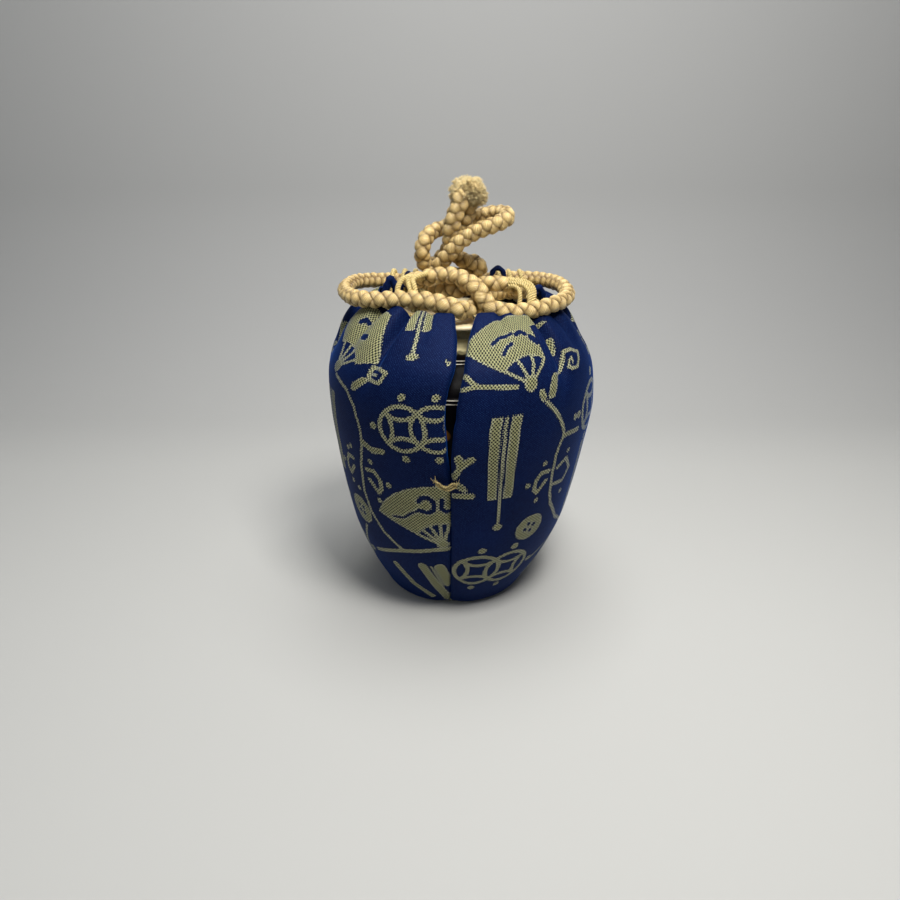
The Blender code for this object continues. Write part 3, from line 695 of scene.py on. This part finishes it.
# The same key with its curl closed to a ring
ring_key = joined(
    (segment, 0, 0.2, 0, 3.4, 1.05),
    (stroke, [(-1.2, 5.4), (-3.1, 7.3), (-0.6, 9.3), (1.6, 10.3), (3.4, 7.5), (0.4, 5.0),
              (-1.2, 5.4)], 0.55),
    (stroke, [(-0.6, 6.6), (0.6, 7.6)], 0.4),
)


def button(x, y):
    """An oval with four small openings."""
    holes = [bead(x, y, cx, cy, 0.62) for cx, cy in ((-1.3, 0), (1.3, 0), (0, 1.2), (0, -1.2))]
    return np.maximum(oval(x, y, 0, 0, 4.0, 3.6), -np.minimum.reduce(holes))


# A level branch that forks at its left end
twig = joined(
    (segment, 0, 0, 8.8, -0.3, 0.68),
    (segment, 0, 0, -3.2, 2.9, 0.6),
    (segment, 0, -0.1, -4.6, -1.7, 0.62),
)

# A forked bud on a stem, over a lens and a short bar
bud = joined(
    (segment, 0, 0, -0.6, 1.9, 0.9),
    (segment, 0, 0, 2.2, 1.6, 0.8),
    (segment, 0, 0.0, -1.5, -3.0, 0.7),
    (oval, 0, -5.6, 1.8, 0.85, -0.7),
    (segment, -1.2, -8.1, 2.6, -7.9, 0.75),
)

# A hooked bracket with three beads
bracket = joined(
    (stroke, [(-2.2, 2.6), (0.2, 2.8), (1.6, 0.8), (1.7, -1.6), (0.6, -2.9), (-1.8, 0.0)], 0.55),
    (bead, -0.4, 5.2, 0.7),
    (bead, 3.9, 0.1, 0.75),
    (bead, 0.4, -5.1, 0.7),
)

# Figures on the cloth: angle from the front slit in degrees, length up the cloth in millimetres,
# turn in degrees, and scale, which is below 0 where a figure is mirrored
FIGURES_LEFT = [
    (fan_creased, 60.5, 68.1, -22, 1.0),
    (ring_key, 43.3, 64.9, -45, 1.0),
    (scroll, 22.4, 83.4, 9, 0.88),
    (coins_flat, 17.0, 57.9, 3.5, 0.98),
    (bracket, 34.2, 42.4, 0, 1.0),
    (bracket, 50.5, 44.0, 0, -0.9),
    (fan_curl, 3.8, 27.0, 0, 1.0),
    (button, 49.1, 31.5, -50, 1.0),
    (scroll, 66.0, 40.5, 0, 1.0),
    (coins, 88.0, 16.5, 4, 1.0),
    (bud, 84.0, 77.0, 0, -1.0),
]
FIGURES_RIGHT = [
    (fan_pleated, 28.1, 68.0, 0, 1.0),
    (twig, 5.9, 68.7, -4, 1.0),
    (scroll_slim, 20.2, 40.95, 1.5, 1.0),
    (key, 39.0, 64.7, 0, 1.0),
    (coins, 72.0, 57.1, 0, 1.0),
    (button, 38.1, 30.1, 20, 1.0),
    (coins, 14.0, 17.8, -3, 0.97),
    (bud, 3.9, 50.2, 0, 1.0),
    (bracket, 39.3, 42.9, 0, -0.95),
    (scroll, 77.0, 27.5, 0, 1.0),
    (bud, 84.0, 77.0, 0, -1.0),
]

# What the back half of each side has in place of a figure that repeats there
BEHIND = {fan_creased: fan, fan_pleated: fan, bud: None}

# Free lines on the cloth: points as (degrees from the slit, mm up the cloth), half width in mm
LINES_LEFT = [
    ([(45.8, 19.0), (27.0, 22.8), (8.1, 25.3), (1.0, 25.6)], 0.55),
    ([(4.1, 76.0), (3.0, 74.6), (2.2, 75.7)], 0.2),
    ([(59.5, 65.5), (47.6, 63.6), (41.5, 60.5), (38.6, 56.5), (37.8, 52.4), (39.6, 48.8), (41.6, 45.2),
      (42.8, 37.9), (40.8, 32.6), (35.1, 27.6), (25.6, 23.6)], 0.4),
    ([(37.8, 52.4), (32.5, 51.0), (27.0, 51.4)], 0.75),
    ([(33.0, 16.4), (24.7, 9.8), (13.4, 4.7)], 0.9),
    ([(15.2, 18.7), (8.9, 11.4), (1.8, 3.6)], 1.15),
    ([(5.7, 18.7), (0.9, 11.4)], 1.3),
    ([(10.3, 18.9), (4.6, 10.6)], 0.25),
    ([(47.0, 49.6), (47.1, 49.5)], 0.6),
    ([(46.7, 38.2), (46.8, 38.1)], 0.6),
    ([(49.1, 26.4), (56.0, 20.2), (60.0, 12.5)], 0.4),
]
LINES_RIGHT = [
    ([(36.4, 63.0), (41.9, 60.2), (45.0, 58.2), (47.1, 55.9), (48.5, 53.7), (47.1, 52.0), (45.9, 48.9),
      (45.9, 44.4), (47.0, 38.7), (49.4, 35.1), (58.9, 28.7), (74.6, 23.4)], 0.45),
    ([(48.5, 53.7), (53.0, 53.7), (59.2, 53.4)], 0.62),
    ([(33.3, 65.3), (34.8, 64.0)], 0.75),
    ([(55.3, 57.1), (55.4, 57.0)], 0.7),
    ([(54.7, 48.8), (54.8, 48.7)], 0.6),
    ([(56.2, 37.1), (56.3, 37.0)], 0.6),
    ([(48.8, 45.2), (54.4, 46.8), (59.2, 43.2), (55.6, 40.2), (48.0, 40.8)], 0.48),
    ([(73.8, 21.5), (60.0, 18.6), (49.1, 16.3)], 0.35),
    ([(69.9, 13.9), (62.2, 11.8), (56.0, 8.4)], 0.7),
]


def motif_field(side, angle, marks, rows):
    """Distance in millimetres from each point of the cloth to the edge of the woven figures."""
    figures, lines = (FIGURES_LEFT, LINES_LEFT) if side < 0 else (FIGURES_RIGHT, LINES_RIGHT)
    gathered = marks + GATHER * np.maximum(0, marks - GATHER_FROM)
    length = gathered[:, None] + 0 * angle
    field = np.full(angle.shape, FIELD_FAR)
    for shift in (0, 90):
        for figure, degrees, up, turn, scale in figures:
            figure = BEHIND.get(figure, figure) if shift else figure
            if figure is None:
                continue
            spin = math.radians(turn)
            flat = side * (angle - math.radians(degrees + shift)) * np.interp(up, gathered, rows[:, 0])
            rise = length - up
            near = (np.abs(flat) < FIGURE_REACH) & (np.abs(rise) < FIGURE_REACH)
            u = (flat[near] * math.cos(spin) + rise[near] * math.sin(spin)) / scale
            v = (rise[near] * math.cos(spin) - flat[near] * math.sin(spin)) / abs(scale)
            field[near] = np.minimum(field[near], figure(u, v) * abs(scale))
        flat = angle - math.radians(shift)
        for points, half in lines:
            for (a, up_a), (b, up_b) in zip(points, points[1:]):
                at = np.interp((up_a + up_b) / 2, gathered, rows[:, 0])
                ends = (math.radians(a) * at, up_a, math.radians(b) * at, up_b)
                field = np.minimum(field, segment(flat * at, length, *ends, half))
    return np.clip(field, -FIELD_FAR, FIELD_FAR)


def new_material(name):
    """A material with its Principled shader, ready for nodes."""
    made = bpy.data.materials.new(name)
    made.use_nodes = True
    return made, made.node_tree, made.node_tree.nodes["Principled BSDF"]


def node(tree, kind, values=None, **settings):
    """A shader node with its settings and inputs."""
    made = tree.nodes.new("ShaderNode" + kind)
    for label, value in settings.items():
        setattr(made, label, value)
    fill(made, values or {})
    return made


def source(tree, kind, output, **settings):
    """One output of a node without inputs."""
    return node(tree, kind, **settings).outputs[output]


def wire(socket, value):
    """Joins a node's output to a socket, or sets the socket to a plain value or colour."""
    if isinstance(value, bpy.types.NodeSocket):
        socket.id_data.links.new(value, socket)
    else:
        socket.default_value = (*value, 1) if socket.type == "RGBA" else value


def fill(made, values):
    """Wires or sets a node's inputs by name or number."""
    for label, value in values.items():
        wire(made.inputs[label], value)


def calc(kind, *values, clamp=False):
    """The output of a math node, beside its first wired value."""
    tree = next(value.id_data for value in values if isinstance(value, bpy.types.NodeSocket))
    return node(tree, "Math", dict(enumerate(values)), operation=kind, use_clamp=clamp).outputs[0]


def times(*values, clamp=False):
    """The product of two values."""
    return calc("MULTIPLY", *values, clamp=clamp)


def scaled(*values):
    """A value times a factor plus an offset."""
    return calc("MULTIPLY_ADD", *values)


def portion(*values):
    """A value times a factor plus an offset, kept between 0 and 1."""
    return calc("MULTIPLY_ADD", *values, clamp=True)


def mix(share, first, second):
    """The output of a colour mix."""
    made = node(share.id_data, "Mix", {"Factor": share, "A": first, "B": second}, data_type="RGBA")
    return made.outputs["Result"]


def noise(place, scale, detail=2.0, rough=0.5):
    """The grey output of a noise texture."""
    values = {"Vector": place, "Scale": scale, "Detail": detail, "Roughness": rough}
    return node(place.id_data, "TexNoise", values).outputs["Fac"]


def split(vector):
    """The three parts of a vector."""
    return node(vector.id_data, "SeparateXYZ", {0: vector}).outputs[:]


def bump(height, strength, distance):
    """The normal output of a bump node."""
    values = {"Height": height, "Strength": strength, "Distance": distance}
    return node(height.id_data, "Bump", values).outputs["Normal"]


def wave(value, period):
    """A sine of a value in millimetres, from 0 to 1."""
    turned = calc("SINE", times(value, math.tau / period))
    return scaled(turned, 0.5, 0.5)


def brocade_material():
    """Navy satin with figures woven in olive-gold thread."""
    made, tree, shader = new_material("brocade_weave")
    across, up, _ = split(source(tree, "Attribute", "Vector", attribute_name="weave"))
    figure = source(tree, "Attribute", "Fac", attribute_name="figure")
    steps = calc("ADD", calc("PINGPONG", across, 0.29), calc("PINGPONG", up, 0.27))
    edge = scaled(steps, 0.9, figure)
    inside = times(calc("SUBTRACT", 0.28, edge), 14.0, clamp=True)
    # Painted highlight and shade: the rim share lightens the gold near each figure's edge, and the share
    # just outside darkens the satin round it
    rim = portion(edge, 3.2, 0.55)
    halo_shade = portion(calc("SUBTRACT", edge, 0.28), -2.2, 1.0)
    rising = wave(calc("ADD", across, up), 0.84)
    falling = wave(calc("SUBTRACT", across, up), 0.84)
    floats = portion(calc("ADD", rising, falling), 2.8, -2.05)
    place = source(tree, "TexCoord", "Object")
    flecks = noise(place, 4200, 1.0)
    grain = portion(flecks, 3.4, -1.2)
    cloudy = noise(place, 60)
    glint = times(floats, scaled(grain, 0.55, 0.55), clamp=True)
    gold = mix(glint, (0.007, 0.010, 0.012), (0.38, 0.38, 0.195))
    gold = mix(times(rim, scaled(floats, 0.55, 0.1)), gold, (0.50, 0.51, 0.37))
    twill = times(wave(scaled(up, 1.4, across), 0.66), wave(scaled(up, -1.4, across), 0.70))
    navy = mix(portion(cloudy, 1.6, -0.4), (0.0006, 0.0029, 0.026), (0.0012, 0.0078, 0.056))
    speck = times(times(twill, grain), 0.85)
    satin = mix(speck, navy, (0.016, 0.045, 0.150))
    # Painted shade round the figures
    satin = mix(times(halo_shade, 0.55), satin, (0.0004, 0.0020, 0.014))
    raised = times(inside, scaled(floats, 0.8, 0.5))
    raised = scaled(flecks, 0.30, scaled(twill, 0.25, raised))
    fill(shader, {
        "Base Color": mix(inside, satin, gold),
        "Roughness": scaled(inside, -0.10, 0.62),
        "Specular IOR Level": 0.05,
        "Sheen Weight": 0.24,
        "Sheen Roughness": 0.32,
        "Sheen Tint": (0.0, 0.13, 0.70),
        "Normal": bump(raised, 0.5, 0.00010),
    })
    return made


def silk_material(name, deep, dark, light, ridges=8.0):
    """Plied silk: fine filaments along each strand, with painted shade in the creases between strands."""
    made, tree, shader = new_material(name)
    along, around, opened = split(source(tree, "Attribute", "Vector", attribute_name="thread"))
    stretched = node(tree, "CombineXYZ", {0: times(around, 4.0), 1: times(along, 0.45)})
    fibre = noise(stretched.outputs[0], 2.4, 3.0, 0.65)
    cloudy = noise(source(tree, "TexCoord", "Object"), 420)
    wander = scaled(cloudy, 2.2, times(around, ridges))
    ridge = calc("ABSOLUTE", calc("SINE", wander))
    share = calc("ADD", scaled(fibre, 1.5, -0.50), times(ridge, 0.48), clamp=True)
    # Painted shade: crease falls to 0 where strands meet and mixes in the deep colour there
    crease = portion(fibre, 0.3, calc("SUBTRACT", opened, 0.15))
    fill(shader, {
        "Base Color": mix(calc("POWER", crease, 0.8), deep, mix(share, dark, light)),
        "Roughness": 0.34,
        "Specular IOR Level": 0.5,
        "Sheen Weight": 0.10,
        "Sheen Roughness": 0.35,
        "Sheen Tint": (1.0, 0.86, 0.6),
        "Normal": bump(scaled(ridge, 0.7, fibre), 0.9, 0.00012),
    })
    return made


def cloth_material(name, colour, rough, scale):
    """Plain cloth with a fine grain."""
    made, tree, shader = new_material(name)
    grain = noise(source(tree, "TexCoord", "Object"), scale, 3.0, 0.6)
    dark = tuple(0.55 * v for v in colour)
    fill(shader, {
        "Base Color": mix(grain, dark, colour),
        "Roughness": rough,
        "Sheen Weight": 0.15,
        "Normal": bump(grain, 0.4, 0.0002),
    })
    return made


def glaze_material():
    """Black iron glaze over the jar, with cream slip at the neck, an amber run and pale lines in two ring
    pairs painted as a highlight.
    """
    made, tree, shader = new_material("iron_glaze")
    place = source(tree, "TexCoord", "Object")
    x, _, height = split(place)
    edge = calc("ADD", height, scaled(noise(place, 260), 0.0012, -0.0006))
    neck = times(calc("SUBTRACT", edge, 0.0668), 2500.0, clamp=True)
    shade = noise(place, 900, 3.0)
    slip = mix(shade, (0.80, 0.69, 0.36), (0.95, 0.87, 0.52))
    warm = portion(noise(place, 110, 4.0, 0.6), 5.0, -2.9)
    dark = mix(warm, (0.0015, 0.0012, 0.002), (0.012, 0.006, 0.003))
    beside = calc("POWER", scaled(x, 1 / 0.0024, 0.0038 / 0.0024), 2.0)
    above = calc("POWER", scaled(edge, 1 / 0.0017, -0.0518 / 0.0017), 2.0)
    amber = calc("SUBTRACT", 1.0, calc("ADD", beside, above))
    dark = mix(times(amber, 2.2, clamp=True), dark, (0.15, 0.06, 0.008))
    # Painted highlight: pale lines at two pairs of heights stand in for glints off the jar's rings, broken
    # up by noise
    lines = None
    for level, thin in ((0.0587, 9000.0), (0.0595, 9000.0), (0.0656, 22000.0), (0.0660, 22000.0)):
        off = calc("ABSOLUTE", calc("SUBTRACT", height, level))
        line = portion(off, -thin, 1.35)
        lines = line if lines is None else calc("MAXIMUM", lines, line)
    painted_glints = times(lines, portion(shade, 2.0, -0.2))
    dark = mix(painted_glints, dark, (0.80, 0.76, 0.66))
    fill(shader, {
        "Base Color": mix(neck, dark, slip),
        "Roughness": scaled(neck, 0.2, 0.30),
        "Specular IOR Level": 0.05,
        "Normal": bump(shade, 0.12, 0.0002),
    })
    return made


def ivory_material():
    """Polished ivory substitute with faint grain."""
    made, tree, shader = new_material("ivory_lid")
    place = source(tree, "TexCoord", "Object")
    stretched = node(tree, "Mapping", {"Vector": place, "Scale": (1.0, 0.12, 1.0)})
    grain = noise(stretched.outputs[0], 900, 4.0, 0.6)
    fill(shader, {
        "Base Color": mix(grain, (0.66, 0.54, 0.31), (0.88, 0.78, 0.52)),
        "Roughness": 0.34,
        "Subsurface Weight": 0.1,
        "Subsurface Radius": (0.003, 0.002, 0.001),
        "Normal": bump(grain, 0.08, 0.0001),
    })
    return made


def leaf_material():
    """Gold leaf with the faint wrinkles of laid sheets."""
    made, tree, shader = new_material("gold_leaf")
    wrinkle = noise(source(tree, "TexCoord", "Object"), 700, 5.0, 0.7)
    fill(shader, {
        "Base Color": mix(wrinkle, (0.62, 0.40, 0.12), (0.86, 0.62, 0.26)),
        "Metallic": 1.0,
        "Roughness": scaled(wrinkle, 0.3, 0.15),
        "Normal": bump(wrinkle, 0.3, 0.0001),
    })
    return made


def build_cord(material):
    """The braided drawstring, reaching a little into the tuft, and the middle line of its route."""
    reach = (0, 0, END_REACH)
    longer = [np.add(CORD_ROUTE[0], reach), *CORD_ROUTE, np.add(CORD_ROUTE[-1], reach)]
    cord = add_threads("braided_cord", braid(smooth_line(longer, BRAID_STEP)), material)
    return cord, smooth_line(CORD_ROUTE, BRAID_STEP)


def ellipsoid(rx, ry, rz, centre, rings=24, sides=40):
    """An ellipsoid as a swept tube."""
    lat = np.linspace(-math.pi / 2, math.pi / 2, rings)[:, None]
    wide = np.maximum(np.cos(lat), 0.001)
    return sweep(np.sin(lat) * [0, 0, rz] + centre, wide * [rx, 0, 0], wide * [0, ry, 0], sides)


def build_tuft(material):
    """The cut pile on the cord's two ends: a core and thousands of short yarns, open to the front below."""
    random = np.random.default_rng(SEED)
    centre, size = np.array(TUFT_CENTRE), np.array(TUFT_SIZE)
    tubes = [ellipsoid(*TUFT_CORE, centre + [0, 0.3, 0.3])]
    clumps = unit(random.normal(0, 1, (TUFT_CLUMPS, 3)))
    grown = random.uniform(0.88, 1.07, TUFT_CLUMPS)
    tone = random.uniform(0.0, 0.35, TUFT_CLUMPS)
    ways = unit(random.normal(0, 1, (TUFT_YARNS, 3)))
    ways = ways[(ways @ unit(np.array(TUFT_OPEN)) < 0.90) & (ways[:, 2] > -0.92)]
    for way in ways:
        nearest = np.argmax(clumps @ way)
        bent = unit(way + 0.30 * clumps[nearest])
        length = grown[nearest] * random.uniform(0.86, 1.08)
        root = centre + way * size * 0.50
        tip = centre + bent * size * length + random.normal(0, 0.10, 3)
        tip[2] -= 0.25 * (1 - abs(way[2]))
        lean = random.normal(0, 0.20, 3)
        steps = np.linspace(0, 1, 4)[:, None]
        line = root + (tip - root) * steps + lean * np.sin(steps * math.pi)
        tangent = unit(tip - root)
        side = unit(np.cross(tangent, random.normal(0, 1, 3)))
        width = np.array([[1.0], [1.0], [0.8], [0.35]]) * random.uniform(0.07, 0.11)
        tube = sweep(line, width * side, width * np.cross(tangent, side), 3)
        thread = tube[2]
        # Painted shade: each yarn is darker towards its root inside the pile and lighter to its tip; the
        # clump tone varies at random
        thread[:, 2] = 0.48 - tone[nearest] + 0.95 * np.clip(thread[:, 0] / 1.7, 0, 1)
        tubes.append(tube)
    return add_threads("yarn_tuft", tubes, material)


def build_binding(line, material):
    """Thread wound round the cord's two ends just under the tuft."""
    route = []
    for step in range(BINDING_TURNS * BINDING_STEPS + 1):
        turn = math.tau * step / BINDING_STEPS
        z = BINDING_TOP - BINDING_PITCH * step / BINDING_STEPS
        first, last = (end[np.argmin(np.abs(end[:, 2] - z))] for end in (line[:60], line[-60:]))
        apart = (first - last) * [1, 1, 0]
        spread = np.linalg.norm(apart) / 2
        across = apart / (2 * spread)
        beside = np.array([-across[1], across[0], 0])
        wide = math.copysign(spread, math.cos(turn)) * min(1, abs(math.cos(turn)) * 6)
        wide += BINDING_REACH * math.cos(turn)
        point = (first + last) / 2 + across * wide + beside * BINDING_REACH * math.sin(turn)
        route.append((point[0], point[1], z))
    return add_threads("tuft_binding", twist(smooth_line(route, THREAD_STEP), *BINDING_THREAD), material)


def back_arch(x, side):
    """One loop of gold thread over the cord's back run, as points in millimetres."""
    run_y, run_z = BACK_RUN
    foot_y = math.sqrt(BACK_FOOT**2 - x**2)
    away = math.atan2(THREAD_HEIGHT - run_z, foot_y - run_y)
    points = [(side * (x - 0.5), foot_y, THREAD_HEIGHT)]
    for share in np.linspace(0, 1, 9):
        angle = away + math.radians(60 + 240 * share)
        y, z = run_y + ARCH_REACH * math.cos(angle), run_z + ARCH_REACH * math.sin(angle)
        points.append((side * (x - 0.5 + share), y, z))
    points.append((side * (x + 0.5), foot_y, THREAD_HEIGHT))
    return points


def build_edge_thread(side, word, material):
    """The twisted gold thread of one half: its run along the mouth and its loops."""
    turns = np.radians(np.linspace(*THREAD_ANGLES, 60))
    radius = MOUTH_FRONT - THREAD_INSIDE + (MOUTH_SIDE - MOUTH_FRONT) * np.sin(turns) ** 2
    run = np.stack([side * radius * np.sin(turns), -radius * np.cos(turns), THREAD_HEIGHT + 0 * turns], -1)
    tubes = []
    for number, points in enumerate([run, *ARCHES[side], *[back_arch(x, side) for x in BACK_ARCHES]]):
        line = smooth_line(points, THREAD_STEP)
        tubes += twist(line, THREAD_PLY[side], THREAD_PITCH, THREAD_PLIES, number, 1.0)
    return add_threads(f"gold_loops_{word}", tubes, material)


def build_folds(side, word, material):
    """Small dark folds of cloth at the gathered mouth, those of one half."""
    tubes = []
    for points, half in FOLDS:
        if points[0][0] * side < 0:
            continue
        line = smooth_line(points, 0.25)
        tangent = unit(np.gradient(line, axis=0))
        across = unit(np.cross(tangent, [0.2, 1.0, 0.1]))
        ripple = (1 + 0.15 * np.sin(np.arange(len(line)) * 0.9))[:, None]
        tubes.append(sweep(line, across * half * ripple, np.cross(tangent, across) * half * 1.3, 14))
    verts, faces, threads = join_sweeps(tubes)
    attributes = {"figure": np.full(len(verts), FIELD_FAR), "weave": threads}
    return add_mesh(f"mouth_folds_{word}", verts, faces, material, attributes)


def build_tack(word, points, material):
    """Bar tack: loose fine strands across the foot of the slit, with frayed ends."""
    random = np.random.default_rng(SEED + len(word))
    tubes = []
    base = smooth_line(points, THREAD_STEP)
    share = np.linspace(0, 1, len(base))[:, None]
    for number in range(TACK_STRANDS):
        wobble = 0.20 * np.sin(share * (6 + 2 * number) + number * 1.7) + random.normal(0, 0.05)
        line = base + np.array([0, -0.06 * number, 0.30]) * (number - 1.5) + wobble * [0, 0.4, 1]
        tubes += twist(line, *TACK_THREAD, phase=number)
    for end, way in ((base[0], -1), (base[-1], 1)):
        for _ in range(TACK_HAIRS):
            lean = random.normal(0, 0.4, 3) + [way * 0.3, -0.1, 0.7]
            line = smooth_line([end, end + lean * 0.5, end + lean + random.normal(0, 0.15, 3)], 0.1)
            width = np.linspace(0.07, 0.04, len(line))[:, None]
            side, up = frames_along(line)
            tubes.append(sweep(line, side * width, up * width, 5))
    return add_threads(f"gold_tack_{word}", tubes, material)


def lathe(name, profile, material, sides=128):
    """A turned piece from a closed run of (radius, height) in millimetres, listed up the outside."""
    radius, height = np.asarray(profile, float).T[:, :, None]
    turn = np.arange(sides) * math.tau / sides
    ring = np.stack([radius * np.cos(turn), radius * np.sin(turn), height + 0 * turn], -1)
    verts = np.vstack([ring.reshape(-1, 3), [[0, 0, height[0, 0]], [0, 0, height[-1, 0]]]])
    return add_mesh(name, verts, tube_faces(len(profile), sides), material)


def jar_profile():
    """The jar's outline: foot, swelling side with two raised rings, shoulder, neck, rim and bore."""
    outside = smooth_line([(15.2, 3.6), (16.2, 5.6), (19.9, 13.2), (24.3, 25.1), (26.8, 36.6),
                           (28.35, 46.7), (28.1, 53.8), (26.4, 60.1), (22.7, 64.2), (18.2, 66.2),
                           (14.3, 67.1)], 0.25)
    for level in (58.7, 59.5):
        near = np.exp(-(((outside[:, 1] - level) / 0.22) ** 2))
        outside[:, 0] += 0.22 * near
    neck = [(14.15, 67.6), (14.1, 68.6), (14.15, 69.4), (14.5, 69.7), (14.15, 70.0), (14.1, 71.0),
            (14.2, 71.5), (14.1, 71.72), (12.1, 71.72), (12.0, 71.4), (12.0, 65.0)]
    inside = [(24.0, 59.0), (25.9, 52.0), (26.0, 46.0), (24.4, 36.0), (21.8, 25.0), (17.2, 13.0),
              (13.0, 6.2), (0.5, 5.8)]
    under = [(0.5, 4.6), (13.0, 4.6), (13.0, 3.65)]
    return [*under, *outside.tolist(), *neck, *inside]


def lid_profile():
    """The lid's outline: plug, brim, low dome and pinched knob."""
    return [(0.4, 68.72), (11.5, 68.72), (11.6, 68.9), (11.6, 71.98), (15.9, 71.98), (16.2, 72.15),
            (16.25, 72.6), (16.05, 72.95), (15.5, 73.08), (9.0, 73.25), (3.4, 73.4), (2.0, 73.6),
            (1.85, 74.1), (2.2, 74.7), (2.75, 75.1), (2.8, 75.4), (2.4, 75.62), (1.2, 75.7), (0.3, 75.72)]


def show_either(target, share, first, second):
    """Sends a mix of two shaders to an output node."""
    values = {"Fac": share, 1: first.outputs[0], 2: second.outputs[0]}
    fill(target, {"Surface": node(target.id_data, "MixShader", values).outputs[0]})


def build_stage():
    """A pale floor that curves up into the backdrop, soft lights and the world."""
    made, tree, shader = new_material("studio_paper")
    across, depth, _ = split(source(tree, "TexCoord", "Object"))
    # Painted shade: the paper's colour is darker up the backdrop than on the floor, on top of the lamps'
    # own falloff
    rise = portion(depth, 1 / 0.12, -0.55)
    fill(shader, {
        "Base Color": mix(rise, (0.53, 0.535, 0.525), (0.46, 0.465, 0.465)),
        "Roughness": 0.9,
        "Specular IOR Level": 0.2,
    })
    # Painted glow: paper far before and beside the camera shows the camera a fixed emitted grey in place of
    # lamp light
    before = portion(depth, -1 / 0.35, -0.15 / 0.35)
    beside = portion(calc("ABSOLUTE", across), 1 / 0.3, -1.0)
    far = times(calc("MAXIMUM", before, beside), source(tree, "LightPath", "Is Camera Ray"))
    show_either(tree.nodes["Material Output"], far, shader, node(tree, "Emission", {"Color": FAR_GREY}))
    curve = [(110 + 90 * math.sin(a), 90 - 90 * math.cos(a)) for a in np.linspace(0, math.pi / 2, 24)]
    verts = [(x, y, z) for y, z in [(-900, 0), *curve, (200, 900)] for x in (-1500, 1500)]
    faces = [[i, i + 1, i + 3, i + 2] for i in range(0, len(verts) - 2, 2)]
    add_mesh("backdrop", verts, faces, made)
    world = bpy.data.worlds.new("studio")
    bpy.context.scene.world = world
    world.use_nodes = True
    sky = world.node_tree
    light = sky.nodes["Background"]
    fill(light, {"Color": (0.80, 0.83, 0.88), "Strength": 0.15})
    seen = source(sky, "LightPath", "Is Camera Ray")
    show_either(sky.nodes["World Output"], seen, light, node(sky, "Background", {"Color": FAR_GREY}))
    for name, place, aim, size, power, colour in LAMPS:
        data = bpy.data.lights.new(name, "AREA")
        data.size = size
        data.energy = power
        data.color = colour
        lamp = add_object(name, data)
        lamp.location = place
        lamp.rotation_euler = (Vector(aim) - Vector(place)).to_track_quat("-Z", "Y").to_euler()


def place_camera():
    """The camera of the photograph."""
    data = bpy.data.cameras.new("camera")
    data.lens = CAMERA_LENS
    data.sensor_width = CAMERA_SENSOR
    data.clip_start = 0.01
    camera = add_object("camera", data)
    camera.location = CAMERA_PLACE
    camera.rotation_euler = (CAMERA_TILT, 0, 0)
    bpy.context.scene.camera = camera


def base_disc(layer, radius, low, high, material):
    """A round layer of the base with softened edges."""
    soft = (high - low) * 0.4
    profile = [(0.3, low), (radius - soft, low), (radius, low + soft), (radius, high - soft),
               (radius - soft, high), (0.3, high)]
    return lathe(f"{layer}_base_disc", profile, material, 96)


def main():
    """Dresses the solid model piece by piece and sets the stage round it."""
    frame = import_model()
    bpy.context.scene.view_settings.view_transform = "Standard"
    place_camera()
    # The first colour of each silk is the painted shade of its creases
    silk = silk_material("cord_silk", (0.105, 0.046, 0.007), (0.46, 0.27, 0.065), (1.0, 0.79, 0.38), 12.0)
    gold = silk_material("gold_twist", (0.025, 0.012, 0.002), (0.50, 0.34, 0.09), (0.97, 0.80, 0.36), 3.0)
    cord, line = build_cord(silk)
    # The pile's first colour is the painted shade at the yarns' roots
    pile = silk_material("cut_silk", (0.58, 0.31, 0.08), (1.0, 0.70, 0.29), (1.0, 0.90, 0.54))
    tuft = build_tuft(pile)
    binding = build_binding(line, silk)
    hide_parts("drawstring_cord")
    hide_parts("end_tuft")
    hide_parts("end_binding")
    for piece in (cord, tuft, binding):
        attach(piece, "pouch")
    cloths = {
        "brocade": brocade_material(),
        "padding": cloth_material("cotton_wadding", (0.72, 0.68, 0.58), 0.95, 900),
        "lining": cloth_material("dark_lining", (0.012, 0.014, 0.035), 0.6, 2500),
    }
    folds = {word: build_folds(side, word, cloths["brocade"]) for side, word in SIDES}
    for side, word in SIDES:
        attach(folds[word], f"{word}_half")
        for layer, material in cloths.items():
            piece = build_layer(side, word, layer, material)
            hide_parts(f"{layer}_{word}_lower", f"{layer}_{word}_upper")
            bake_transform(piece)
        loops = build_edge_thread(side, word, gold)
        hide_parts(f"edge_loops_{word}")
        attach(loops, f"{word}_half")
    for layer, (radius, low, high) in BASE_DISCS.items():
        disc = base_disc(layer, radius, low, high, cloths[layer])
        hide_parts(f"{layer}_base")
        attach(disc, "pouch")
    for word, points in TACKS.items():
        tack = build_tack(word, points, gold)
        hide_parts(f"bar_tack_{word}")
        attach(tack, "pouch")
    jar = lathe("glazed_jar", jar_profile(), glaze_material())
    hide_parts("caddy_body")
    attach(jar, "pouch")
    lid = lathe("ivory_lid", lid_profile(), ivory_material())
    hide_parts("caddy_lid")
    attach(lid, "lid")
    leaf = frame["nodes"]["lid_gold_leaf"]
    leaf.data.materials.clear()
    leaf.data.materials.append(leaf_material())
    build_stage()


if __name__ == "__main__":
    main()
